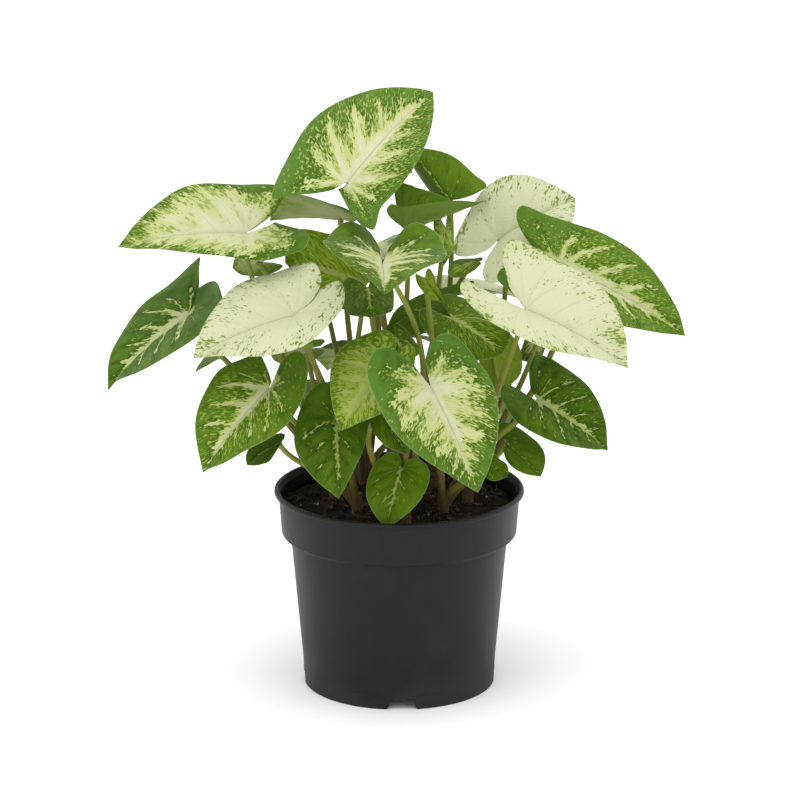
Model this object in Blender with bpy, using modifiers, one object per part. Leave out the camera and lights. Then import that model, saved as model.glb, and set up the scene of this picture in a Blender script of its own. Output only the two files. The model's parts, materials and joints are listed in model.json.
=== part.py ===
"""Arrowhead plant: variegated leafy shoots growing in soil in a plastic nursery pot.

Millimetres in the named sizes, metres in the model. +Z is up, the front is -Y, and the
origin is the middle of the pot's base. Each shoot is one grown piece: a crown stem set in
a hole in the soil, its leaf stalks, and a thin arrow-shaped blade on each stalk.
"""

import math
from dataclasses import dataclass

import bmesh
import bpy
import numpy as np
from mathutils import Matrix, Vector
from mathutils.bvhtree import BVHTree

MM = 0.001

RIM_RADIUS = 60.0
RIM_TOP = 97.0
RIM_FOOT = 94.5
LIP_WIDTH = 2.4
WALL = 1.3
COLLAR_TOP = (57.9, 94.3)
COLLAR_FOOT = (56.5, 75.2)
STEP_FOOT = (53.0, 74.2)
BODY_TOP = (52.1, 72.8)
BODY_FOOT = (46.5, 12.0)
FOOT_RADIUS = 46.1
FOOT_RING_WIDTH = 2.4
FOOT_EDGE = 0.6
FLOOR_UNDERSIDE = 6.0
FLOOR_TOP = 7.4
FLOOR_RADIUS = 44.4
SLOT_WIDTH = 12.6
SLOT_HEIGHT = 5.4
SLOT_LENGTH = 12.0
SLOT_CORNER = 0.9
SLOT_FLARE = 3.0
SLOT_OFFSET = 1.3
SLOT_ANGLES = (0, 90, 180, 270)
DRAIN_RADIUS = 4.5
DRAIN_RING_RADIUS = 27.0
DRAIN_ANGLES = (45, 135, 225, 315)
POT_STEPS = 32

CLEARANCE = 0.3
SOIL_TOP = 89.0
SOIL_EDGE_DROP = 2.5
SOIL_BUMP = 1.1
SOIL_MOUND = 2.0
SOIL_RINGS = (9.0, 19.0, 29.0, 39.0, 49.0)
HOLE_DEPTH = 22.0

CROWN_RADIUS = 3.6
CROWN_TOP_RADIUS = 2.6
CROWN_TOP = 99.0
CROWN_SIDES = 8

BLADE_THICKNESS = 0.8
SMALL_BLADE = 30.0
LARGE_BLADE = 50.5
HALF_WIDTH = 0.50
LOBE_BACK = 0.38
LOBE_OUT = 0.40
LOBE_BLEND = 0.12
HALF_OUTLINE = (
    (1.00, 0.00), (0.94, 0.06), (0.82, 0.175), (0.62, 0.325), (0.38, 0.45), (0.13, 0.505),
    (-0.10, 0.50), (-0.27, 0.465), (-0.38, 0.40), (-0.44, 0.30), (-0.41, 0.18), (-0.24, 0.06),
)
LOBE_SHARE = HALF_OUTLINE.index((-LOBE_BACK, LOBE_OUT)) / (len(HALF_OUTLINE) - 1)

STALK_FOOT_RADIUS = 2.2
STALK_HEAD_RADIUS = 1.2
STALK_FOOT_HEIGHT = 2.0
STALK_LEAN = 0.7
STALK_RINGS = 5
FOOT_PULL = 0.42
HEAD_PULL = 0.30
FOOT_SWAY = 0.8
JOINT_DEPTH = 1.1
JOINT_AHEAD = 0.6
RIB_SHARE = 0.42
RIB_TIP_RADIUS = 0.55

ROUTE_SAMPLES = 44
SWAY_SIZES = (5, 10, 15, 20, 26)
SWAY_STEP = 45
BLADE_ROOM = 2.4
STALK_ROOM = 3.6
SHARED_FOOT = 0.24
FREE_LENGTH = 0.84

EYE = Vector((0.0, -1923.5, 688.4))


@dataclass
class Leaf:
    """One leaf, in millimetres: where its stalk joins, its tip, and the edge of each half.

    A place is (right, height) or (right, height, front) as seen from the front. Where front
    is left out, the point lies on the leaf's own plane, whose upper face is turned and tilted
    by `facing`. Left and right are those of someone who looks from the stalk to the tip, and
    each half is given by its widest point and the tip of its lobe. `fullness` rounds out the
    left and right edges between the widest point and the tip, and `opening` straightens the
    lobes' inner edges from 0, heart-shaped, to 1, a straight line from lobe to notch. Below 0,
    it bulges a lobe's inner edge over towards the other half.
    """

    name: str
    shoot: str
    notch: tuple
    tip: tuple
    left: tuple
    right: tuple
    facing: tuple = (0, 60)
    fold: float = 10.0
    bow: float = 0.05
    camber: float = 0.06
    fullness: tuple = (0.0, 0.0)
    opening: tuple = (0.0, 0.0)


@dataclass
class BackLeaf:
    """One leaf that the front view hides, in millimetres and degrees round the pot."""

    name: str
    shoot: str
    around: float
    reach: float
    height: float
    length: float
    droop: float
    roll: float = 0.0
    fold: float = 12.0
    bow: float = 0.06
    camber: float = 0.06
    fullness: tuple = (0.0, 0.0)
    opening: tuple = (0.0, 0.0)


SHOOTS = {
    "shoot_front_left": (-20, -17),
    "shoot_front_right": (21, -19),
    "shoot_left": (-31, 5),
    "shoot_right": (33, 3),
    "shoot_centre": (-3, -1),
    "shoot_back_left": (-17, 24),
    "shoot_back_right": (17, 25),
    "shoot_front": (3, -34),
}

LEAVES = [
    Leaf("top", "shoot_centre", (-24, 247, 25), (16, 290),
         ((-46, 270), (-60, 238)), ((-11, 235.5), (-13, 223)), (0, 52), -8, fullness=(-0.08, 0.65),
         opening=(0.85, -0.3)),
    Leaf("upper_left", "shoot_left", (-73, 222, 15), (-133, 215),
         ((-70, 210.3), (-45, 213.5)), ((-80, 246.5), (-53, 243.5)), (-9, 66), fullness=(0.0, -0.1),
         opening=(-0.25, 0.7)),
    Leaf("pale_left", "shoot_front_left", (-50, 182, 55), (-98, 161),
         ((-43.4, 167.2), (-26, 187.5)), ((-65, 201), (-41.8, 207.3)), (-35, 55), 8, fullness=(0.1, -0.15),
         opening=(-0.15, 0.25)),
    Leaf("far_left", "shoot_left", (-100, 182, 12), (-139, 145),
         ((-94.3, 172.6), (-82.5, 190)), ((-115.5, 191), (-93.5, 210.5)), (-60, 45), 12, fullness=(0.1, -0.15),
         opening=(-0.4, 0.8)),
    Leaf("low_left", "shoot_front_left", (-62, 146, 52), (-94, 104),
         ((-52.5, 129.6), (-42.5, 153.5)), ((-84, 157), (-66, 163)), (-40, 40), fullness=(-0.12, -0.1),
         opening=(-0.15, 0.8)),
    Leaf("low_front_left", "shoot_front_left", (-30, 131, 48), (-29, 91),
         ((-15, 128), (-18, 144)), ((-49.3, 130), (-41.5, 146)), (0, 30), 12, fullness=(-0.3, 0.38)),
    Leaf("lime", "shoot_front", (-8, 154, 60), (-28, 125),
         ((1, 143), (8, 161)), ((-26, 167.5), (-10, 174.5)), (-30, 40), 8),
    Leaf("white_front", "shoot_front_right", (15, 147, 76), (38, 94),
         ((38.6, 157.6), (25.2, 172.4)), ((-8.5, 136.2), (-15, 158.5)), (15, 36), 8, fullness=(0.2, 0.0),
         opening=(0.15, -0.05)),
    Leaf("small_front", "shoot_front", (1, 106, 38), (-6, 76),
         ((14.5, 102), (12.5, 108.7)), ((-14.3, 103.5), (-8.5, 112)), (-15, 30), 12, fullness=(0.15, 0.0)),
    Leaf("low_right", "shoot_front_right", (66, 140, 35), (100, 115),
         ((77, 157), (65, 163)), ((59.5, 127.5), (48.3, 140.8)), (40, 48), fullness=(0.05, 0.25),
         opening=(0.35, 0.0)),
    Leaf("white_right", "shoot_right", (60, 185, 50), (109, 156),
         ((73, 208.5), (53.6, 218.6)), ((53, 173), (30.5, 190.8)), (35, 50), 8, fullness=(0.3, 0.0),
         opening=(0.15, 0.0)),
    Leaf("far_right", "shoot_right", (76, 206, -5), (136, 172),
         ((86, 225), (58, 235)), ((69, 190), (48, 197)), (20, 45), fullness=(0.35, 0.2),
         opening=(0.3, 0.0)),
    Leaf("pale_back", "shoot_back_right", (47, 219, -32), (83, 239),
         ((35.5, 239.5), (25, 213)), ((60, 208), (44, 197)), (-15, 50), 8, fullness=(0.5, 0.5),
         opening=(0.6, 0.3)),
    Leaf("pointing", "shoot_centre", (-8, 207, 50), (-7, 192, 91),
         ((21, 213, 52), (15, 224, 32)), ((-34, 219, 50), (-26, 226, 30)), fullness=(0.2, 0.45)),
    Leaf("dark_top", "shoot_back_right", (24, 238, -40), (6, 263, -52),
         ((20, 236.5, -46), (25, 234, -44)), ((35.5, 249, -48), (41, 244, -42)), fullness=(1.6, 0.1),
         opening=(1.0, 0.6)),
    Leaf("trough", "shoot_centre", (3, 224, -14), (41, 238, -18),
         ((4, 243.5, -30), (-1, 246, -30)), ((2, 234, -2), (-5, 235, -2)), bow=0.0, camber=0.02,
         fullness=(-0.95, -0.5)),
    Leaf("under_top", "shoot_back_left", (-27, 229, -34), (-61, 228, -44),
         ((-42, 241, -24), (-27, 234, -22)), ((-35, 232, -56), (-23, 232, -52))),
    Leaf("broad_lime", "shoot_left", (-16, 196, 10), (-54, 208, -6),
         ((-26, 184, 26), (-11, 187, 26)), ((-34, 220, -18), (-20, 221, -18))),
    Leaf("under_pointing", "shoot_front", (-15, 196, 30), (-13, 181, 52),
         ((-3, 188, 34), (-4, 198, 20)), ((-25, 186, 34), (-27, 195, 20))),
    Leaf("curled", "shoot_back_right", (22, 225, -16), (21, 206, 6),
         ((26, 219, -6), (25, 228, -20)), ((18, 219, -6), (16, 228, -20))),
    Leaf("small_under", "shoot_back_right", (35, 208, -30), (23, 203, -24),
         ((29, 201, -20), (36, 204, -24)), ((30, 210, -36), (37, 210, -34))),
    Leaf("young", "shoot_front_right", (12, 200, 30), (21, 188, 44),
         ((17, 197, 36), (16, 203, 28)), ((11, 194, 38), (8, 199, 30))),
    Leaf("shade_centre", "shoot_centre", (23, 190, -10), (-6, 175.5, 8),
         ((8, 173, 10), (24, 179, 0)), ((13.5, 193.5, -14), (30, 198, -22))),
    Leaf("shade_right", "shoot_right", (25, 181, 12), (49, 163, 24),
         ((44, 181, 4), (30, 190, -2)), ((24, 163, 30), (11, 176, 20))),
    Leaf("backlit", "shoot_right", (44, 167, 0), (48, 146, 6),
         ((38, 157, 4), (39, 167, -2)), ((58, 160, -4), (55, 171, -8))),
    Leaf("small_right", "shoot_front_right", (51, 119, 30), (68, 102, 42),
         ((64, 121, 28), (54, 128, 20)), ((52, 109, 38), (50, 114, 32))),
    Leaf("small_low", "shoot_front_right", (42, 109, 36), (52, 102, 48),
         ((49, 110, 38), (44, 114, 32)), ((43, 101, 46), (39, 105, 40))),
    Leaf("small_left", "shoot_front_left", (-57, 119, 40), (-73, 108, 48),
         ((-62, 110, 50), (-58, 115.5, 42)), ((-66, 120, 36), (-59, 123, 34)), opening=(0.5, 0.0)),
    Leaf("under_left", "shoot_left", (-66, 208.5, -15), (-79, 205, -18),
         ((-70, 215, -6), (-58, 214, -6)), ((-70, 201.5, -26), (-58, 203, -24))),
    Leaf("under_white", "shoot_front", (-9, 134, 56), (4, 113, 66),
         ((1, 133, 54), (-7, 140, 50)), ((-13, 125, 60), (-14, 133, 54))),
    Leaf("middle", "shoot_front", (-2, 171, 40), (4, 160, 52),
         ((9, 167, 42), (3, 175, 34)), ((-6, 164, 46), (-7, 171, 38))),
    Leaf("under_right", "shoot_right", (66, 172, -6), (62, 160, -16),
         ((69.5, 166, -11), (71, 172, -5)), ((59, 166, -12), (61, 172, -7))),
    Leaf("under_low", "shoot_left", (-43, 166, -2), (-61, 163, -4),
         ((-52, 170, 6), (-40, 170, 6)), ((-52, 158, -14), (-40, 160, -12))),
]

BACK_LEAVES = [
    BackLeaf("back_low", "shoot_back_left", 86, 66, 115, 47, 33),
    BackLeaf("back_low_right", "shoot_back_right", 58, 62, 126, 48, 32),
    BackLeaf("back_low_left", "shoot_back_left", 132, 64, 128, 48, 32),
    BackLeaf("back_middle", "shoot_back_left", 110, 65, 146, 44, 25),
    BackLeaf("back_middle_right", "shoot_back_right", 64, 59, 150, 47, 24),
    BackLeaf("back_side_right", "shoot_right", 27, 70, 165, 50, 25),
    BackLeaf("back_mid_right", "shoot_back_right", 55, 60, 179, 50, 15),
    BackLeaf("back_high", "shoot_back_left", 98, 50, 198, 52, 8),
    BackLeaf("back_mid_left", "shoot_back_left", 131, 54, 181, 52, 16),
    BackLeaf("back_side_left", "shoot_left", 160, 62, 164, 48, 25),
    BackLeaf("back_top", "shoot_centre", 122, 38, 238, 50, 8),
]


def clear_scene():
    for item in list(bpy.data.objects):
        bpy.data.objects.remove(item)


def new_collection(name):
    group = bpy.data.collections.new(name)
    bpy.context.scene.collection.children.link(group)
    return group


def new_material(name, colour, roughness):
    material = bpy.data.materials.new(name)
    material.use_nodes = True
    shader = material.node_tree.nodes["Principled BSDF"]
    shader.inputs["Base Color"].default_value = (*colour, 1.0)
    shader.inputs["Roughness"].default_value = roughness
    shader.inputs["Metallic"].default_value = 0.0
    return material


def new_object(name, mesh, group):
    item = bpy.data.objects.new(name, mesh)
    group.objects.link(item)
    return item


def mesh_from(build, name):
    """Turn a bmesh into a mesh and free it."""
    mesh = bpy.data.meshes.new(name)
    build.to_mesh(mesh)
    build.free()
    return mesh


def settle(item):
    """Make an object's evaluated shape its mesh, so that its modifiers are applied."""
    depsgraph = bpy.context.evaluated_depsgraph_get()
    mesh = bpy.data.meshes.new_from_object(item.evaluated_get(depsgraph))
    item.modifiers.clear()
    item.data = mesh


def turned(name, profile, steps, group):
    """Turn a closed profile of (radius, height) points, in millimetres, about the Z axis."""
    build = bmesh.new()
    points = [build.verts.new((radius * MM, 0, height * MM)) for radius, height in profile]
    for start, end in zip(points, points[1:] + points[:1]):
        build.edges.new((start, end))
    item = new_object(name, mesh_from(build, name), group)
    screw = item.modifiers.new("Turn", "SCREW")
    screw.steps = steps
    screw.render_steps = steps
    screw.use_merge_vertices = True
    screw.merge_threshold = 0.00001
    settle(item)
    return item


def hidden_cutter(name, build, group):
    cutter = new_object(name, mesh_from(build, name), group)
    cutter.hide_render = True
    cutter.display_type = "WIRE"
    return cutter


def cut(item, cutters):
    """Take every cutter in the collection out of the object."""
    boolean = item.modifiers.new("Cut", "BOOLEAN")
    boolean.operation = "DIFFERENCE"
    boolean.operand_type = "COLLECTION"
    boolean.collection = cutters
    settle(item)


def smooth(item, sharp_degrees):
    item.data.shade_smooth()
    item.data.set_sharp_from_angle(angle=math.radians(sharp_degrees))


def arc(centre, radius, start, end, count):
    """Points on an arc in the profile's plane, with its angles in degrees."""
    points = []
    for index in range(count + 1):
        angle = math.radians(start + (end - start) * index / count)
        points.append((centre[0] + radius * math.cos(angle), centre[1] + radius * math.sin(angle)))
    return points


def outer_wall():
    """The pot's outer wall from under its rim down to its foot, as (radius, height)."""
    return [COLLAR_TOP, COLLAR_FOOT, STEP_FOOT, BODY_TOP, BODY_FOOT]


def inner_wall(gap):
    """The wall's inner face, or a face inside it by a gap, from the top down."""
    outer = [Vector(point) for point in outer_wall()]
    inwards = []
    for start, end in zip(outer, outer[1:]):
        down = (end - start).normalized()
        inwards.append(Vector((down.y, -down.x)))
    line = []
    for point, above, below in zip(outer, inwards[:1] + inwards, inwards + inwards[-1:]):
        line.append(tuple(point + (above + below) * (WALL + gap) / (1 + above.dot(below))))
    return line


def pot_profile():
    """The pot's wall section: up its inside, over the rolled rim and down its outside."""
    lip = LIP_WIDTH / 2
    ring_inside = FOOT_RADIUS - FOOT_RING_WIDTH
    inside = [(0.0, FLOOR_TOP), (FLOOR_RADIUS, FLOOR_TOP)] + inner_wall(0.0)[::-1]
    rim = arc((RIM_RADIUS - lip, RIM_TOP - lip), lip, 180, 0, 5)
    rim_edge = [(RIM_RADIUS - 0.2, RIM_FOOT + 0.6), (RIM_RADIUS - 0.9, RIM_FOOT)]
    foot = [
        (FOOT_RADIUS, FOOT_EDGE),
        (FOOT_RADIUS - FOOT_EDGE, 0.0),
        (ring_inside + FOOT_EDGE, 0.0),
        (ring_inside, FOOT_EDGE),
        (ring_inside, FLOOR_UNDERSIDE),
        (0.0, FLOOR_UNDERSIDE),
    ]
    return inside + rim + rim_edge + outer_wall() + foot


def slot_outline():
    """A drain slot seen from outside: square above, with its sides flared out at the floor."""
    half = SLOT_WIDTH / 2
    crown = SLOT_HEIGHT - SLOT_CORNER
    flare = (half + SLOT_FLARE, SLOT_FLARE - 0.5)
    right = arc((half - SLOT_CORNER, crown), SLOT_CORNER, 90, 0, 2) + arc(flare, SLOT_FLARE, 180, 260, 3)
    left = [(-across, height) for across, height in reversed(right)]
    return right + left


def slot_cutter(turn):
    """The block that a drain slot takes out of the foot ring."""
    build = bmesh.new()
    face = build.faces.new([
        build.verts.new(((SLOT_OFFSET + across) * MM, -(FOOT_RADIUS + SLOT_LENGTH / 2) * MM, height * MM))
        for across, height in slot_outline()])
    solid = bmesh.ops.extrude_face_region(build, geom=[face])["geom"]
    moved = [item for item in solid if isinstance(item, bmesh.types.BMVert)]
    bmesh.ops.translate(build, verts=moved, vec=(0, SLOT_LENGTH * MM, 0))
    bmesh.ops.recalc_face_normals(build, faces=build.faces)
    bmesh.ops.rotate(build, verts=build.verts, cent=(0, 0, 0),
                     matrix=Matrix.Rotation(math.radians(turn), 3, "Z"))
    return build


def rod(radius, low, high, place, sides, top_radius=None):
    """An upright round bar, in millimetres, which may taper."""
    build = bmesh.new()
    bmesh.ops.create_cone(
        build, cap_ends=True, segments=sides, radius1=radius * MM,
        radius2=(top_radius or radius) * MM, depth=(high - low) * MM,
        matrix=Matrix.Translation((place[0] * MM, place[1] * MM, (low + high) / 2 * MM)))
    return build


def make_pot(group, cutters):
    pot = turned("pot", pot_profile(), POT_STEPS, group)
    for turn in SLOT_ANGLES:
        hidden_cutter(f"slot_{turn}", slot_cutter(turn), cutters)
    for angle in DRAIN_ANGLES:
        place = (DRAIN_RING_RADIUS * math.cos(math.radians(angle)),
                 DRAIN_RING_RADIUS * math.sin(math.radians(angle)))
        drain = rod(DRAIN_RADIUS, FLOOR_UNDERSIDE - 1, FLOOR_TOP + 1, place, sides=14)
        hidden_cutter(f"drain_{angle}", drain, cutters)
    cut(pot, cutters)
    smooth(pot, 35)
    pot.data.materials.append(new_material("pot_plastic", (0.03, 0.031, 0.033), 0.55))
    return pot


def soil_height(x, y):
    """How far the soil's uneven top stands above or below its level, in millimetres."""
    waves = (math.sin(x / 9.0 + 1.3) * math.cos(y / 11.0 - 0.4)
             + 0.6 * math.sin(x / 5.3 - y / 6.1 + 0.7)
             + 0.4 * math.cos(x / 3.9 + y / 4.3))
    mound = math.exp(-((x + 12) ** 2 + (y - 16) ** 2) / 700.0)
    return SOIL_BUMP * waves + SOIL_MOUND * mound


def soil_profile():
    """The soil's section: out along its top, then down inside the pot's wall to the floor."""
    top = [(radius, SOIL_TOP) for radius in (0.0, *SOIL_RINGS)]
    side = inner_wall(CLEARANCE)
    edge = (side[0][0] - 2 * CLEARANCE, SOIL_TOP - SOIL_EDGE_DROP)
    low = FLOOR_TOP + CLEARANCE
    return top + [edge] + side[1:] + [(FLOOR_RADIUS - CLEARANCE, low), (0.0, low)]


def make_soil(group, cutters):
    soil = turned("soil", soil_profile(), POT_STEPS, group)
    for vert in soil.data.vertices:
        if vert.co.z > (SOIL_TOP - 1) * MM:
            vert.co.z += soil_height(vert.co.x / MM, vert.co.y / MM) * MM
    for name, place in SHOOTS.items():
        hole = rod(CROWN_RADIUS + CLEARANCE, SOIL_TOP - HOLE_DEPTH, SOIL_TOP + 10, place, CROWN_SIDES)
        hidden_cutter(f"hole_{name}", hole, cutters)
    cut(soil, cutters)
    smooth(soil, 50)
    soil.data.materials.append(new_material("potting_soil", (0.035, 0.022, 0.014), 0.95))
    return soil


def as_seen(right, height, front):
    """The point seen `right` of the pot's axis and level with `height` on it, `front` before it."""
    on_axis = Vector((right, 0.0, height))
    return EYE + (on_axis - EYE) * ((-EYE.y - front) / -EYE.y)


def on_plane(right, height, origin, normal):
    """Where the sight line through (right, height) on the axis's plane meets a leaf's plane."""
    sight = Vector((right, 0.0, height)) - EYE
    return EYE + sight * ((origin - EYE).dot(normal) / sight.dot(normal))


def seen_corners(leaf):
    """A seen leaf's notch, tip and its left and right (widest point, lobe), in millimetres."""
    turn, tilt = (math.radians(angle) for angle in leaf.facing)
    face = Vector((math.sin(turn) * math.cos(tilt), -math.cos(turn) * math.cos(tilt), math.sin(tilt)))
    notch = as_seen(*leaf.notch)
    tip = as_seen(*leaf.tip) if len(leaf.tip) == 3 else on_plane(*leaf.tip, notch, face)
    midrib = (tip - notch).normalized()
    halves = []
    for spots, side in ((leaf.left, 1), (leaf.right, -1)):
        half_face = Matrix.Rotation(side * math.radians(leaf.fold), 3, midrib) @ face
        halves.append([
            as_seen(*spot) if len(spot) == 3 else on_plane(*spot, notch, half_face)
            for spot in spots])
    return notch, tip, *halves


def back_corners(leaf):
    """A hidden leaf's notch, tip and its left and right (widest point, lobe), in millimetres."""
    around, droop = math.radians(leaf.around), math.radians(leaf.droop)
    outward = Vector((math.cos(around), math.sin(around), 0.0))
    notch = outward * leaf.reach + Vector((0, 0, leaf.height))
    midrib = outward * math.cos(droop) - Vector((0, 0, math.sin(droop)))
    face = outward * math.sin(droop) + Vector((0, 0, math.cos(droop)))
    face = Matrix.Rotation(math.radians(leaf.roll), 3, midrib) @ face
    halves = []
    for side in (1, -1):
        across = face.cross(midrib) * side
        across = across * math.cos(math.radians(leaf.fold)) + face * math.sin(math.radians(leaf.fold))
        halves.append([notch + across * HALF_WIDTH * leaf.length,
                       notch + (across * LOBE_OUT - midrib * LOBE_BACK) * leaf.length])
    return notch, notch + midrib * leaf.length, *halves


def leaf_corners(leaf):
    return seen_corners(leaf) if isinstance(leaf, Leaf) else back_corners(leaf)


def leaf_face(corners):
    """The direction that the middle of a leaf's upper side looks in."""
    notch, tip, left, right = corners
    midrib = tip - notch
    left_face = midrib.cross(left[0] - notch).normalized()
    right_face = (right[0] - notch).cross(midrib).normalized()
    return (left_face + right_face).normalized()


def half_outline(share):
    """A point on half a leaf's outline, from its tip (0) round the lobe to the sinus (1).

    The points of HALF_OUTLINE are (along, across) in leaf lengths, on one smooth curve.
    """
    spans = len(HALF_OUTLINE) - 1
    index = min(int(share * spans), spans - 1)
    part = share * spans - index
    before, start, end, after = (
        Vector(HALF_OUTLINE[min(max(index + step, 0), spans)]) for step in (-1, 0, 1, 2))
    return (start + (end - before) * 0.5 * part
            + (before * 2 - start * 5 + end * 4 - after) * 0.5 * part ** 2
            + (start * 3 - before - end * 3 + after) * 0.5 * part ** 3)


def blade_point(leaf, corners, side, ring):
    """A point of the blade's middle surface, in millimetres.

    `side` runs from -1 at the right sinus over 0 at the midrib to 1 at the left sinus, and
    `ring` from 0 at the notch to 1 at the edge. The lobes bend back from the widest line.
    """
    notch, tip, left, right = corners
    widest, lobe = left if side > 0 else right
    opposite = right[0] if side > 0 else left[0]
    midrib = tip - notch
    spread = widest - notch
    along, across = half_outline(abs(side)) * ring
    fullness = leaf.fullness[0] if side > 0 else leaf.fullness[1]
    opening = leaf.opening[0] if side > 0 else leaf.opening[1]
    inner = max(abs(side) - LOBE_SHARE, 0.0) / (1 - LOBE_SHARE)
    if inner > 0:
        along -= max(opening, 0.0) * (along + across * LOBE_BACK / LOBE_OUT)
    out = across / HALF_WIDTH * (1 + fullness * max(along, 0.0))
    soft = math.hypot(along, LOBE_BLEND * out)
    ahead, behind = (soft + along) / 2, (soft - along) / 2 / LOBE_BACK
    back = lobe - notch - spread * LOBE_OUT / HALF_WIDTH
    reach = along * (1 - along) if along > 0 else along * (1 + along / LOBE_BACK)
    half_face = midrib.cross(spread).normalized() * (1 if side > 0 else -1)
    return (notch + midrib * ahead + spread * out + back * behind
            + (opposite - notch) * max(-opening, 0.0) * inner * ring
            + leaf_face(corners) * leaf.bow * midrib.length * 4 * reach
            + half_face * leaf.camber * spread.length * 4 * out * (1 - out))


def blade_surface(leaf, around, rings):
    """The blade's middle surface as a fan of rings about the notch, split into triangles."""
    corners = leaf_corners(leaf)
    build = bmesh.new()
    bmesh.ops.create_grid(build, x_segments=2 * around, y_segments=rings, size=1.0)
    for vert in build.verts:
        vert.co = blade_point(leaf, corners, vert.co.x, (vert.co.y + 1) / 2) * MM
    bmesh.ops.remove_doubles(build, verts=build.verts, dist=0.01 * MM)
    bmesh.ops.triangulate(build, faces=build.faces)
    return build


def stalk_ends(leaf):
    """A stalk's foot on its crown, its joint under the notch, and its directions there."""
    corners = leaf_corners(leaf)
    notch, tip = corners[:2]
    midrib = (tip - notch).normalized()
    face = leaf_face(corners)
    foot = Vector((*SHOOTS[leaf.shoot], SOIL_TOP + STALK_FOOT_HEIGHT))
    away = notch - foot
    level = Vector((away.x, away.y, 0.0))
    up = Vector((0, 0, 1))
    rise = (up + level / away.length * STALK_LEAN).normalized()
    arrival = (away.normalized() + face * 0.5 + up * 0.35).normalized()
    slant = max(arrival.dot(face), 0.0)
    joint = notch - face * (JOINT_DEPTH - 0.9 * slant) + midrib * JOINT_AHEAD
    return foot, joint, rise, arrival


def stalk_route(leaf, sway, samples):
    """Points along a stalk, which leaves its crown steeply and bows sideways by `sway`."""
    foot, joint, rise, arrival = stalk_ends(leaf)
    reach = (joint - foot).length
    first = foot + rise * reach * FOOT_PULL + sway * FOOT_SWAY
    second = joint - arrival * reach * HEAD_PULL + sway
    points = []
    for index in range(samples + 1):
        part = index / samples
        rest = 1 - part
        points.append(foot * rest ** 3 + first * 3 * rest ** 2 * part
                      + second * 3 * rest * part ** 2 + joint * part ** 3)
    return points


def sways():
    """Sideways bows to try for a stalk, from none outwards, in millimetres."""
    yield Vector((0, 0, 0))
    for size in SWAY_SIZES:
        for degrees in range(0, 360, SWAY_STEP):
            angle = math.radians(degrees)
            yield Vector((size * math.cos(angle), size * math.sin(angle), 0))


def route_room(leaf, points, trees, routes):
    """The least room that a route leaves to the blades and to the stalks already routed."""
    room = math.inf
    for name, tree in trees.items():
        stretch = points[: int(len(points) * FREE_LENGTH)] if name == leaf.name else points
        for point in stretch:
            room = min(room, tree.find_nearest(point * MM)[3] / MM - BLADE_ROOM)
    own = np.array([tuple(point) for point in points])
    for other, path in routes:
        start = int(len(own) * SHARED_FOOT) if other.shoot == leaf.shoot else 0
        gaps = np.linalg.norm(own[start:, None, :] - path[None, start:, :], axis=2)
        room = min(room, gaps.min() - STALK_ROOM)
    return room


def clear_routes():
    """Choose each stalk's bow, so that it passes beside the blades and the other stalks."""
    leaves = LEAVES + BACK_LEAVES
    trees = {}
    for leaf in leaves:
        surface = blade_surface(leaf, 9, 4)
        trees[leaf.name] = BVHTree.FromBMesh(surface)
        surface.free()
    routes = []
    chosen = {}
    for leaf in leaves:
        best = None
        for sway in sways():
            points = stalk_route(leaf, sway, ROUTE_SAMPLES)
            room = route_room(leaf, points, trees, routes)
            if best is None or room > best[0]:
                best = (room, sway, points)
            if room > 0:
                break
        chosen[leaf.name] = best[1]
        routes.append((leaf, np.array([tuple(point) for point in best[2]])))
    return chosen


def tapered_tube(name, points, radii, group, roundness=1):
    """A round closed tube through points in millimetres, as a mesh with its caps joined."""
    curve = bpy.data.curves.new(name, "CURVE")
    curve.dimensions = "3D"
    curve.bevel_depth = 1.0
    curve.bevel_resolution = roundness
    curve.use_fill_caps = True
    spline = curve.splines.new("POLY")
    spline.points.add(len(points) - 1)
    for knot, point, radius in zip(spline.points, points, radii):
        knot.co = (*(point * MM), 1.0)
        knot.radius = radius * MM
    item = new_object(name, curve, group)
    depsgraph = bpy.context.evaluated_depsgraph_get()
    mesh = bpy.data.meshes.new_from_object(item.evaluated_get(depsgraph))
    bpy.data.objects.remove(item)
    build = bmesh.new()
    build.from_mesh(mesh)
    bmesh.ops.remove_doubles(build, verts=build.verts, dist=0.001 * MM)
    build.to_mesh(mesh)
    build.free()
    return new_object(name, mesh, group)


def blade_length(leaf):
    corners = leaf_corners(leaf)
    return (corners[1] - corners[0]).length


def make_blade(leaf, group):
    around = 8 if blade_length(leaf) > SMALL_BLADE else 6
    rings = 3 if blade_length(leaf) > LARGE_BLADE else 2
    surface = blade_surface(leaf, around, rings)
    blade = new_object(f"{leaf.name}_blade", mesh_from(surface, leaf.name), group)
    thicken = blade.modifiers.new("Thickness", "SOLIDIFY")
    thicken.thickness = BLADE_THICKNESS * MM
    thicken.offset = 0.0
    settle(blade)


def make_rib(leaf, group):
    """The thick part of the midrib, under the blade from the stalk's joint outwards."""
    corners = leaf_corners(leaf)
    face = leaf_face(corners)
    points = []
    radii = []
    for share in (0.0, 0.5, 1.0):
        radius = STALK_HEAD_RADIUS + (RIB_TIP_RADIUS - STALK_HEAD_RADIUS) * share
        along = blade_point(leaf, corners, 0.0, RIB_SHARE * share)
        points.append(along - face * radius * 0.85)
        radii.append(radius)
    tapered_tube(f"{leaf.name}_rib", points, radii, group, roundness=0)


def make_stalk(leaf, sway, group):
    points = stalk_route(leaf, sway, STALK_RINGS)
    radii = []
    for index in range(len(points)):
        share = index / (len(points) - 1)
        radii.append(STALK_HEAD_RADIUS + (STALK_FOOT_RADIUS - STALK_HEAD_RADIUS) * (1 - share) ** 1.6)
    tapered_tube(f"{leaf.name}_stalk", points, radii, group)


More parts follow.
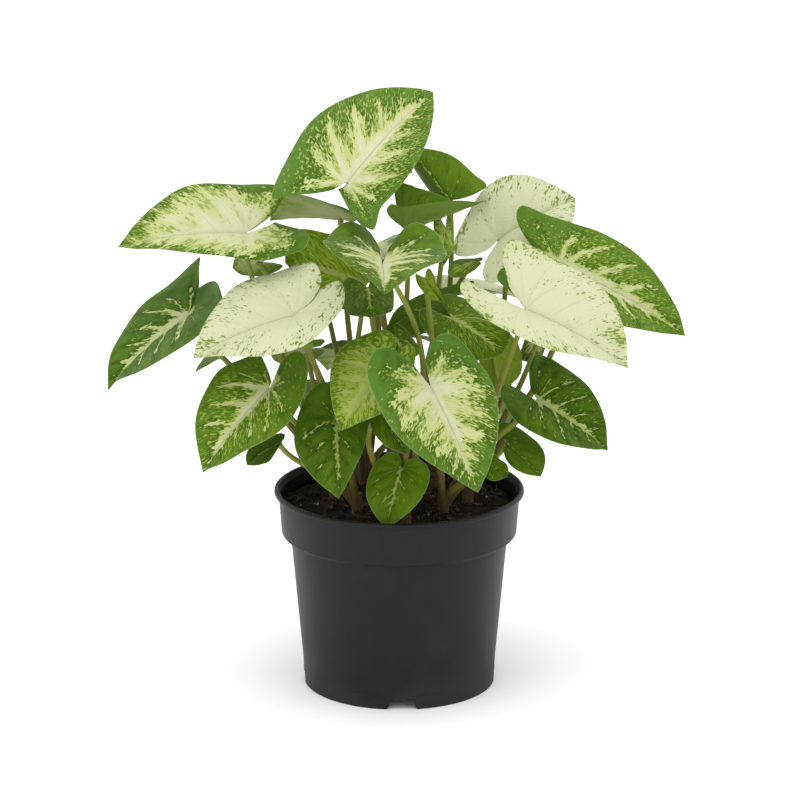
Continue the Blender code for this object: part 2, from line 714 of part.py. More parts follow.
def make_shoot(name, group, chosen, material):
    """One grown piece: its crown, stalks and blades, fused."""
    place = SHOOTS[name]
    crown = rod(CROWN_RADIUS, SOIL_TOP - HOLE_DEPTH + CLEARANCE, CROWN_TOP, place, CROWN_SIDES,
                CROWN_TOP_RADIUS)
    shoot = new_object(name, mesh_from(crown, name), group)
    parts = new_collection(f"{name}_parts")
    for leaf in LEAVES + BACK_LEAVES:
        if leaf.shoot == name:
            make_blade(leaf, parts)
            if blade_length(leaf) > SMALL_BLADE:
                make_rib(leaf, parts)
            make_stalk(leaf, chosen[leaf.name], parts)
    # The exact solver leaves open edges where several stalks meet, so this is the manifold one.
    union = shoot.modifiers.new("Grow together", "BOOLEAN")
    union.operation = "UNION"
    union.solver = "MANIFOLD"
    union.operand_type = "COLLECTION"
    union.collection = parts
    settle(shoot)
    for item in list(parts.objects):
        bpy.data.objects.remove(item)
    bpy.data.collections.remove(parts)
    smooth(shoot, 40)
    shoot.data.materials.append(material)
    return shoot


clear_scene()
plant = new_collection("arrowhead_plant")
make_pot(plant, new_collection("pot_cutters"))
make_soil(plant, new_collection("soil_cutters"))
leaf_green = new_material("leaf", (0.25, 0.42, 0.12), 0.45)
bows = clear_routes()
for shoot_name in SHOOTS:
    make_shoot(shoot_name, plant, bows, leaf_green)
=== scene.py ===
"""Looks of a potted arrowhead plant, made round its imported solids.

Sizes are in millimetres in the named values and in metres in the scene. +Z is up and the front is -Y.
"""

import json
import math
import random
from dataclasses import dataclass

import bmesh
import bpy
import numpy as np
from mathutils import Matrix, Vector, noise
from mathutils.bvhtree import BVHTree

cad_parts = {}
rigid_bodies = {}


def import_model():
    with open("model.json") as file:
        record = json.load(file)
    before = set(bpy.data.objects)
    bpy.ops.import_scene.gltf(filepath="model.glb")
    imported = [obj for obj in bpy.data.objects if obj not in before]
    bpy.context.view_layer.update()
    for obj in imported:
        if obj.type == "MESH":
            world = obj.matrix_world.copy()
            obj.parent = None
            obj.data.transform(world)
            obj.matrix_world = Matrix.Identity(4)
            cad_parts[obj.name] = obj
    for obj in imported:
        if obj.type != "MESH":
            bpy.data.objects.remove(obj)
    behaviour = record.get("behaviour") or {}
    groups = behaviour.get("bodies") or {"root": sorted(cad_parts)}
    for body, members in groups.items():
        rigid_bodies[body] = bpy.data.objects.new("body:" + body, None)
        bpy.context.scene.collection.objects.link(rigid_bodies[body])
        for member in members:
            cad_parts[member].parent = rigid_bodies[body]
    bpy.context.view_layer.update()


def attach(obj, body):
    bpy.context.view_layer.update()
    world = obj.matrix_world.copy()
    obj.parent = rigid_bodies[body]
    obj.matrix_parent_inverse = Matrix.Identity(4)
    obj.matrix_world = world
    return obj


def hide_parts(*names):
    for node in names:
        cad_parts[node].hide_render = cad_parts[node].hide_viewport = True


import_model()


# Pot
# A thin nursery pot, moulded in one shot of matt charcoal plastic: a rolled rim and a collar over a
# tapering wall, and a raised floor with drain holes on a foot ring that is cut by four drain slots.

MM = 0.001
RIM_RADIUS = 60.0
RIM_TOP = 97.0
RIM_FOOT = 94.5
RIM_BEVEL = (0.9, 0.4)
RIM_STEPS = 12
LIP_WIDTH = 2.4
WALL = 1.3
COLLAR_TOP = (57.9, 94.3)
COLLAR_FOOT = (56.5, 75.2)
STEP_FOOT = (53.0, 74.2)
BODY_TOP = (52.1, 72.8)
BODY_FOOT = (46.5, 12.0)
OUTER_WALL = (COLLAR_TOP, COLLAR_FOOT, STEP_FOOT, BODY_TOP, BODY_FOOT)
FOOT_RADIUS = 46.1
FOOT_RING_WIDTH = 2.4
FLOOR_UNDERSIDE = 6.0
FLOOR_TOP = 7.4
FLOOR_RADIUS = 44.4
SLOT_WIDTH = 12.6
SLOT_HEIGHT = 5.4
SLOT_LENGTH = 12.0
SLOT_CORNER = 0.9
SLOT_FLARE = 3.0
SLOT_SINK = 0.5
SLOT_OFFSET = 1.3
DRAIN_RADIUS = 4.5
DRAIN_CUT = 6.0
DRAIN_RING_RADIUS = 27.0
MOULD_ROUND = 0.7
ROUND_STEPS = 3
POT_STEPS = 144
MOULD_MARKS = (
    ((-31, 7.2), (-17.5, 6.9), (-15.5, 6.3), (-14, 5.6), (-8, 5.4)),
    ((9, 5.4), (10.5, 6.0), (12.5, 6.9), (32, 7.5)),
)
MARK_RADIUS = 0.2
MARK_SIDES = 6
STUDIO_LIGHT = 1.5


class Wire:
    """One value in a material. A sum or product with it adds a Math node."""

    def __init__(self, finish, socket):
        self.finish = finish
        self.socket = socket

    def __add__(self, other):
        return self.finish.math("ADD", self, other)

    def __sub__(self, other):
        return self.finish.math("SUBTRACT", self, other)

    def __rsub__(self, other):
        return self.finish.math("SUBTRACT", other, self)

    def __mul__(self, other):
        return self.finish.math("MULTIPLY", self, other)

    __radd__ = __add__
    __rmul__ = __mul__


class Finish:
    """A material in the making, with a Principled shader."""

    def __init__(self, name):
        self.material = bpy.data.materials.new(name)
        self.material.use_nodes = True
        self.tree = self.material.node_tree
        self.shader = self.tree.nodes["Principled BSDF"]

    def feed(self, socket, value):
        if isinstance(value, Wire):
            self.tree.links.new(value.socket, socket)
        else:
            socket.default_value = value

    def node(self, kind, settings, inputs, output=0):
        """Add a node: its settings first, then the value or link of each socket."""
        made = self.tree.nodes.new("ShaderNode" + kind)
        for key, value in settings.items():
            setattr(made, key, value)
        for key, value in inputs.items():
            self.feed(made.inputs[key], value)
        return Wire(self, made.outputs[output])

    def math(self, operation, *values):
        return self.node("Math", {"operation": operation}, dict(enumerate(values)))

    def mix(self, share, first, second):
        """A colour between two."""
        return self.node("Mix", {"data_type": "RGBA"}, {0: share, 6: first, 7: second}, 2)

    def rise(self, value, low, high):
        """0 below `low`, 1 above `high` and smooth between."""
        return self.node("MapRange", {"interpolation_type": "SMOOTHSTEP"},
                         {"Value": value, "From Min": low, "From Max": high})

    def noise(self, place, scale, detail, roughness=0.5):
        return self.node("TexNoise", {}, {
            "Vector": place, "Scale": scale, "Detail": detail, "Roughness": roughness})

    def place(self):
        return self.node("TexCoord", {}, {}, "Object")

    def attribute(self, name):
        return self.node("Attribute", {"attribute_name": name}, {}, "Vector")

    def stretch(self, vector, scale):
        return self.node("VectorMath", {"operation": "MULTIPLY"}, {0: vector, 1: scale})

    def split(self, vector):
        made = self.node("SeparateXYZ", {}, {0: vector}).socket.node
        return [Wire(self, made.outputs[axis]) for axis in "XYZ"]

    def bump(self, height, distance, strength):
        return self.node("Bump", {}, {"Height": height, "Distance": distance, "Strength": strength})

    def finish(self, **inputs):
        """Set the shader's sockets, named with _ for a space, and give the material."""
        for key, value in inputs.items():
            self.feed(self.shader.inputs[key.replace("_", " ")], value)
        return self.material


def colour(red, green, blue):
    """The share of light that a surface reflects, from its screen colour, 0 to 255, in this studio."""
    parts = [part / 255 for part in (red, green, blue)]
    shown = [part / 12.92 if part < 0.04 else ((part + 0.055) / 1.055) ** 2.4 for part in parts]
    return (*[part / STUDIO_LIGHT for part in shown], 1.0)


def as_object(name, build, material):
    """Turn a bmesh into an object with a material, and free it."""
    mesh = bpy.data.meshes.new(name)
    build.to_mesh(mesh)
    build.free()
    mesh.materials.append(material)
    item = bpy.data.objects.new(name, mesh)
    bpy.context.scene.collection.objects.link(item)
    return item


def finished(name, build, material, nodes, sharp_degrees):
    """Make a smooth-shaded piece of the plant that stands for the given solids."""
    item = as_object(name, build, material)
    item.data.shade_smooth()
    item.data.set_sharp_from_angle(angle=math.radians(sharp_degrees))
    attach(item, "root")
    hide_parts(*nodes)
    return item


def rounded(corners, radius):
    """An outline in which each corner between the ends is a short curve."""
    points = [Vector(corner) for corner in corners]
    outline = [points[0]]
    for before, corner, after in zip(points, points[1:], points[2:]):
        start = corner + (before - corner) * min(radius / (before - corner).length, 0.45)
        end = corner + (after - corner) * min(radius / (after - corner).length, 0.45)
        for step in range(ROUND_STEPS + 1):
            share = step / ROUND_STEPS
            outline.append(start * (1 - share) ** 2 + corner * 2 * share * (1 - share) + end * share ** 2)
    return outline + [points[-1]]


def turned(outline, steps):
    """Turn an outline of (radius, height) about the Z axis, with its ends on the axis."""
    build = bmesh.new()
    verts = [build.verts.new((radius * MM, 0, height * MM)) for radius, height in outline]
    edges = [build.edges.new(pair) for pair in zip(verts, verts[1:])]
    bmesh.ops.spin(build, geom=verts + edges, cent=(0, 0, 0), axis=(0, 0, 1), angle=math.tau,
                   steps=steps, use_merge=True)
    bmesh.ops.remove_doubles(build, verts=build.verts, dist=0.001 * MM)
    bmesh.ops.recalc_face_normals(build, faces=build.faces)
    return build


def arc(middle, radius, start, end, count):
    """Points on an arc, with its angles in degrees."""
    angles = [math.radians(start + (end - start) * step / count) for step in range(count + 1)]
    return [(middle[0] + radius * math.cos(angle), middle[1] + radius * math.sin(angle))
            for angle in angles]


def inner_wall(gap):
    """The wall's inner face, or a face inside it by a gap, from the top down."""
    outer = [Vector(point) for point in OUTER_WALL]
    inwards = []
    for start, end in zip(outer, outer[1:]):
        down = (end - start).normalized()
        inwards.append(Vector((down.y, -down.x)))
    line = []
    for point, above, below in zip(outer, inwards[:1] + inwards, inwards + inwards[-1:]):
        line.append(tuple(point + (above + below) * (WALL + gap) / (1 + above.dot(below))))
    return line


def pot_outline():
    """The pot's section, from the middle of its floor up inside, over the rim and down outside."""
    lip = LIP_WIDTH / 2
    ring_inside = FOOT_RADIUS - FOOT_RING_WIDTH
    rim = arc((RIM_RADIUS - lip, RIM_TOP - lip), lip, 180, 0, RIM_STEPS)
    skirt = [(RIM_RADIUS, RIM_FOOT + RIM_BEVEL[1]), (RIM_RADIUS - RIM_BEVEL[0], RIM_FOOT)]
    foot = [(FOOT_RADIUS, 0), (ring_inside, 0), (ring_inside, FLOOR_UNDERSIDE), (0, FLOOR_UNDERSIDE)]
    inside = [(0, FLOOR_TOP), (FLOOR_RADIUS, FLOOR_TOP), *reversed(inner_wall(0)), rim[0]]
    outside = [rim[-1], *skirt, *OUTER_WALL, *foot]
    return rounded(inside, MOULD_ROUND) + rim[1:-1] + rounded(outside, MOULD_ROUND)


def slot_block(turn):
    """What a drain slot takes out of the foot ring: square above, with sides that flare at the floor."""
    half = SLOT_WIDTH / 2
    flare = (half + SLOT_FLARE, SLOT_FLARE - SLOT_SINK)
    right = (arc((half - SLOT_CORNER, SLOT_HEIGHT - SLOT_CORNER), SLOT_CORNER, 90, 0, 6)
             + arc(flare, SLOT_FLARE, 180, 260, 8))
    outline = right + [(-across, height) for across, height in reversed(right)]
    build = bmesh.new()
    face = build.faces.new([
        build.verts.new(((SLOT_OFFSET + across) * MM, -(FOOT_RADIUS + SLOT_LENGTH / 2) * MM, height * MM))
        for across, height in outline])
    grown = bmesh.ops.extrude_face_region(build, geom=[face])["geom"]
    back = [item for item in grown if isinstance(item, bmesh.types.BMVert)]
    bmesh.ops.translate(build, verts=back, vec=(0, SLOT_LENGTH * MM, 0))
    bmesh.ops.recalc_face_normals(build, faces=build.faces)
    bmesh.ops.rotate(build, verts=build.verts, matrix=Matrix.Rotation(turn, 3, "Z"))
    return build


def drain_bar(angle):
    """What a drain hole takes out of the pot's floor."""
    build = bmesh.new()
    place = Matrix.Rotation(angle, 4, "Z") @ Matrix.Translation((DRAIN_RING_RADIUS * MM, 0, FLOOR_TOP * MM))
    bmesh.ops.create_cone(build, cap_ends=True, segments=32, radius1=DRAIN_RADIUS * MM,
                          radius2=DRAIN_RADIUS * MM, depth=DRAIN_CUT * MM, matrix=place)
    return build


def without(build, cutters):
    """The shape with the cutters' shapes taken out."""
    item = as_object("cut", build, None)
    group = bpy.data.collections.new("cutters")
    for index, cutter in enumerate(cutters):
        group.objects.link(as_object(f"cutter_{index}", cutter, None))
    boolean = item.modifiers.new("Cut", "BOOLEAN")
    boolean.operation = "DIFFERENCE"
    boolean.operand_type = "COLLECTION"
    boolean.collection = group
    result = bmesh.new()
    result.from_object(item, bpy.context.evaluated_depsgraph_get())
    for extra in (item, *list(group.objects)):
        bpy.data.objects.remove(extra)
    bpy.data.collections.remove(group)
    return result


def tube(build, path, radii, sides):
    """Add a closed tube along a path, and give its verts with their share of the way along."""
    rows = [0, *range(len(path)), len(path) - 1]
    verts = bmesh.ops.create_grid(build, x_segments=sides, y_segments=len(rows) - 1, size=1.0)["verts"]
    across = Vector((1, 0, 0)) if abs((path[1] - path[0]).normalized().x) < 0.8 else Vector((0, 1, 0))
    rings = []
    for index, point in enumerate(path):
        ahead = (path[min(index + 1, len(path) - 1)] - path[max(index - 1, 0)]).normalized()
        across = (across - ahead * across.dot(ahead)).normalized()
        rings.append((point, across, ahead.cross(across)))
    shares = {}
    for vert in verts:
        row = round((vert.co.y + 1) / 2 * (len(rows) - 1))
        angle = math.pi * vert.co.x
        point, right, up = rings[rows[row]]
        capped = row in (0, len(rows) - 1)
        radius = 0.0 if capped else radii(rows[row] / (len(path) - 1), angle)
        vert.co = (point + (right * math.cos(angle) + up * math.sin(angle)) * radius) * MM
        shares[vert] = rows[row] / (len(path) - 1)
    merged = bmesh.ops.find_doubles(build, verts=verts, dist=0.001 * MM)["targetmap"]
    bmesh.ops.weld_verts(build, targetmap=merged)
    return {vert: share for vert, share in shares.items() if vert.is_valid}


def pot_plastic():
    plastic = Finish("pot_plastic")
    place = plastic.place()
    height = plastic.split(place)[2]
    cloud = plastic.noise(place, 28.0, 3.0)
    flow = plastic.noise(plastic.stretch(place, (1.0, 1.0, 0.08)), 420.0, 3.0, 0.6)
    grain = plastic.noise(place, 2600.0, 2.0, 0.6)
    dust = plastic.rise(cloud + 0.35 * plastic.rise(height, 0.02, 0.0), 0.55, 0.85)
    body = plastic.mix(flow, colour(20, 20, 22), colour(28, 28, 30))
    return plastic.finish(
        Base_Color=plastic.mix(dust * 0.2, body, colour(78, 74, 68)),
        Roughness=0.42 + 0.12 * cloud + 0.1 * dust,
        Specular_IOR_Level=0.22,
        Normal=plastic.bump(grain + 0.5 * flow, 0.00006, 0.5))


pot = without(turned(pot_outline(), POT_STEPS),
              [slot_block(math.tau * step / 4) for step in range(4)]
              + [drain_bar(math.tau * (step + 0.5) / 4) for step in range(4)])
for marks in MOULD_MARKS:
    mark_path = []
    for (start, low), (end, high) in zip(marks, marks[1:]):
        for share in (0.0, 0.25, 0.5, 0.75):
            angle = math.radians(start + (end - start) * share - 90)
            height = low + (high - low) * share
            radius = FOOT_RADIUS + (BODY_FOOT[0] - FOOT_RADIUS) * height / BODY_FOOT[1]
            mark_path.append(Vector((radius * math.cos(angle), radius * math.sin(angle), height)))
    tube(pot, mark_path, lambda share, angle: MARK_RADIUS, MARK_SIDES)
finished("pot_shell", pot, pot_plastic(), ["pot"], 35)


# Soil
# Damp dark potting mix, poured in and settled to 8 mm below the rim: one uneven body, with loose
# crumbs, chips of bark, pale root fibres and a few white grains lying on it.

SOIL_GAP = 0.3
SOIL_TOP = 89.0
SOIL_LEVEL_RADIUS = 52
SOIL_EDGE = (2.0, 1.2)
SOIL_EDGE_DROP = 2.5
SOIL_STEPS = 120
SOIL_BUMP = 1.1
SOIL_MOUND = 2.0
MOUND_PLACE = (-12.0, 16.0)
MOUND_SPREAD = 700.0
SOIL_ROUGHNESS = 0.9
ROUGH_DEPTH = 1.5
LUMP_WIDTH = 2.3
LITTER_SEED = 3399
LITTER_RADIUS = 53.0
CRUMBS = 420
CRUMB_SIZES = (0.6, 2.1)
CHIPS = 55
CHIP_WIDTHS = (0.9, 2.0)
CHIP_LENGTHS = (1.8, 4.2)
CHIP_HEIGHTS = (0.4, 0.9)
CHIP_BEVEL = 0.2
FIBRES = 34
FIBRE_WIDTHS = (0.12, 0.3)
FIBRE_LINKS = (0.8, 1.3)
FIBRE_STEPS = 9
GRAINS = 46
GRAIN_SIZES = (0.3, 0.8)


def soil_height(x, y):
    """How far the soil's uneven top stands above or below its level."""
    waves = (math.sin(x / 9.0 + 1.3) * math.cos(y / 11.0 - 0.4)
             + 0.6 * math.sin(x / 5.3 - y / 6.1 + 0.7)
             + 0.4 * math.cos(x / 3.9 + y / 4.3))
    mound = math.exp(-((x - MOUND_PLACE[0]) ** 2 + (y - MOUND_PLACE[1]) ** 2) / MOUND_SPREAD)
    return SOIL_BUMP * waves + SOIL_MOUND * mound


def soil_outline():
    top = [(radius, SOIL_TOP) for radius in range(SOIL_LEVEL_RADIUS + 1)]
    side = inner_wall(SOIL_GAP)
    reach = side[0][0]
    edge = [(reach - SOIL_EDGE[0], SOIL_TOP - SOIL_EDGE[1]),
            (reach - 2 * SOIL_GAP, SOIL_TOP - SOIL_EDGE_DROP)]
    low = FLOOR_TOP + SOIL_GAP
    return top + edge + side[1:] + [(FLOOR_RADIUS - SOIL_GAP, low), (0, low)]


def on_soil(rng, sink):
    """A random place on the soil, sunk in a little."""
    reach = LITTER_RADIUS * math.sqrt(rng.random())
    angle = rng.uniform(0, math.tau)
    x, y = reach * math.cos(angle), reach * math.sin(angle)
    return Vector((x, y, SOIL_TOP + soil_height(x, y) - sink))


def lie(rng, verts, size, place, roughness):
    """Size, roughen, turn and place one loose bit."""
    turn = Matrix.Rotation(rng.uniform(0, math.tau), 3, "Z")
    turn = turn @ Matrix.Rotation(rng.uniform(-0.5, 0.5), 3, "X")
    for vert in verts:
        ragged = Vector([rng.uniform(1 - roughness, 1 + roughness) for axis in range(3)])
        vert.co = (turn @ (vert.co * Vector(size) * ragged) + place) * MM


def soil_piece(name, build, mix_name, dark, light, scale, sharp_degrees):
    """Make a piece of the soil, in a damp mix of two screen colours."""
    mix = Finish(mix_name)
    place = mix.place()
    lumps = mix.noise(place, scale, 6.0, 0.65)
    specks = mix.noise(place, scale * 7, 2.0, 0.6)
    share = mix.rise(lumps * 0.7 + specks * 0.3, 0.42, 0.68)
    material = mix.finish(
        Base_Color=mix.mix(share, colour(*dark), colour(*light)),
        Roughness=0.82 + 0.15 * specks,
        Specular_IOR_Level=0.25,
        Normal=mix.bump(lumps + 0.4 * specks, 0.0012, 0.8))
    finished(name, build, material, ["soil"], sharp_degrees)


rng = random.Random(LITTER_SEED)
soil = turned(soil_outline(), SOIL_STEPS)
for vert in soil.verts:
    if vert.co.z > (SOIL_TOP - ROUGH_DEPTH) * MM:
        x, y = vert.co.x / MM, vert.co.y / MM
        lumps = noise.fractal(Vector((x / LUMP_WIDTH, y / LUMP_WIDTH, 0)), 0.8, 2.0, 4)
        vert.co.z += (soil_height(x, y) + SOIL_ROUGHNESS * lumps) * MM
soil_piece("soil_body", soil, "potting_mix", (16, 13, 11), (50, 40, 32), 260.0, 180)

crumbs = bmesh.new()
for index in range(CRUMBS):
    bit = bmesh.ops.create_uvsphere(crumbs, u_segments=7, v_segments=5, radius=1.0)["verts"]
    size = rng.uniform(*CRUMB_SIZES)
    lie(rng, bit, (size * rng.uniform(0.8, 1.5), size, size * 0.8), on_soil(rng, 0.3), 0.22)
soil_piece("soil_crumbs", crumbs, "crumbs", (20, 16, 13), (84, 64, 48), 420.0, 60)

chips = bmesh.new()
for index in range(CHIPS):
    bit = bmesh.ops.create_cube(chips, size=2.0)["verts"]
    wide, long = rng.uniform(*CHIP_WIDTHS), rng.uniform(*CHIP_LENGTHS)
    lie(rng, bit, (long, wide, rng.uniform(*CHIP_HEIGHTS)), on_soil(rng, -0.3), 0.3)
bmesh.ops.bevel(chips, geom=chips.edges, offset=CHIP_BEVEL * MM, affect="EDGES", segments=1, profile=0.5,
                material=-1)
soil_piece("soil_bark_chips", chips, "bark", (44, 32, 23), (132, 98, 70), 380.0, 30)

fibres = bmesh.new()
for index in range(FIBRES):
    start = on_soil(rng, -0.5)
    heading = rng.uniform(0, math.tau)
    bend = rng.uniform(-0.35, 0.35)
    thread = []
    for step in range(FIBRE_STEPS + 1):
        lift = 0.6 + 1.6 * math.sin(math.pi * step / FIBRE_STEPS) * rng.uniform(0.2, 1.0)
        thread.append(Vector((start.x, start.y, SOIL_TOP + soil_height(start.x, start.y) + lift)))
        start = start + Vector((math.cos(heading), math.sin(heading), 0)) * rng.uniform(*FIBRE_LINKS)
        heading += bend
        if math.hypot(start.x, start.y) > LITTER_RADIUS:
            heading += 2.2
    width = rng.uniform(*FIBRE_WIDTHS)
    tube(fibres, thread, lambda share, angle: width, 4)
soil_piece("soil_fibres", fibres, "root_fibre", (84, 68, 50), (160, 140, 108), 300.0, 180)

grains = bmesh.new()
for index in range(GRAINS):
    bit = bmesh.ops.create_uvsphere(grains, u_segments=6, v_segments=4, radius=1.0)["verts"]
    size = rng.uniform(*GRAIN_SIZES)
    lie(rng, bit, (size, size, size), on_soil(rng, -0.1), 0.3)
soil_piece("soil_white_grains", grains, "white_grain", (196, 192, 182), (236, 234, 228), 500.0, 50)


# Leaf blades
# Thin living arrow-shaped blades, each grown in one piece with its stalk. Cream and yellow-green run from
# the midrib along the side veins and break up into flecks over a darker green. The undersides are paler.

HALF_WIDTH = 0.50
LOBE_BACK = 0.38
LOBE_OUT = 0.40
LOBE_BLEND = 0.12
HALF_OUTLINE = (
    (1.00, 0.00), (0.94, 0.06), (0.82, 0.175), (0.62, 0.325), (0.38, 0.45), (0.13, 0.505),
    (-0.10, 0.50), (-0.27, 0.465), (-0.38, 0.40), (-0.44, 0.30), (-0.41, 0.18), (-0.24, 0.06),
)
LOBE_SHARE = HALF_OUTLINE.index((-LOBE_BACK, LOBE_OUT)) / (len(HALF_OUTLINE) - 1)
EYE = Vector((0.0, -1923.5, 688.4))


@dataclass
class Leaf:
    """One leaf that shows from the front: where its stalk joins, its tip, and each half's edge.

    A place is (right, height) or (right, height, front), as seen from EYE. Where front is left out,
    the point lies on the leaf's own plane, whose upper face is turned and tilted by `facing`. Left and
    right are those of someone who looks from the stalk to the tip, and each half is given by its widest
    point and the tip of its lobe. `tones` are how far cream and yellow-green reach from the veins, how
    dark the green is and how blue. `fold` lifts the halves, in degrees, and `bow` and `camber` arch the
    midrib and the halves. `fullness` widens each half in front of the notch, and `opening` draws its
    lobe's inner side back, or over to the other half where it is below 0.
    """

    name: str
    shoot: str
    tones: tuple
    notch: tuple
    tip: tuple
    left: tuple
    right: tuple
    facing: tuple = (0, 60)
    fold: float = 10.0
    bow: float = 0.05
    camber: float = 0.06
    fullness: tuple = (0.0, 0.0)
    opening: tuple = (0.0, 0.0)


@dataclass
class BackLeaf:
    """One leaf that the front view hides, in millimetres and degrees round the pot."""

    name: str
    shoot: str
    tones: tuple
    around: float
    reach: float
    height: float
    length: float
    droop: float
    fold: float = 12.0
    bow: float = 0.06
    camber: float = 0.06
    fullness: tuple = (0.0, 0.0)
    opening: tuple = (0.0, 0.0)


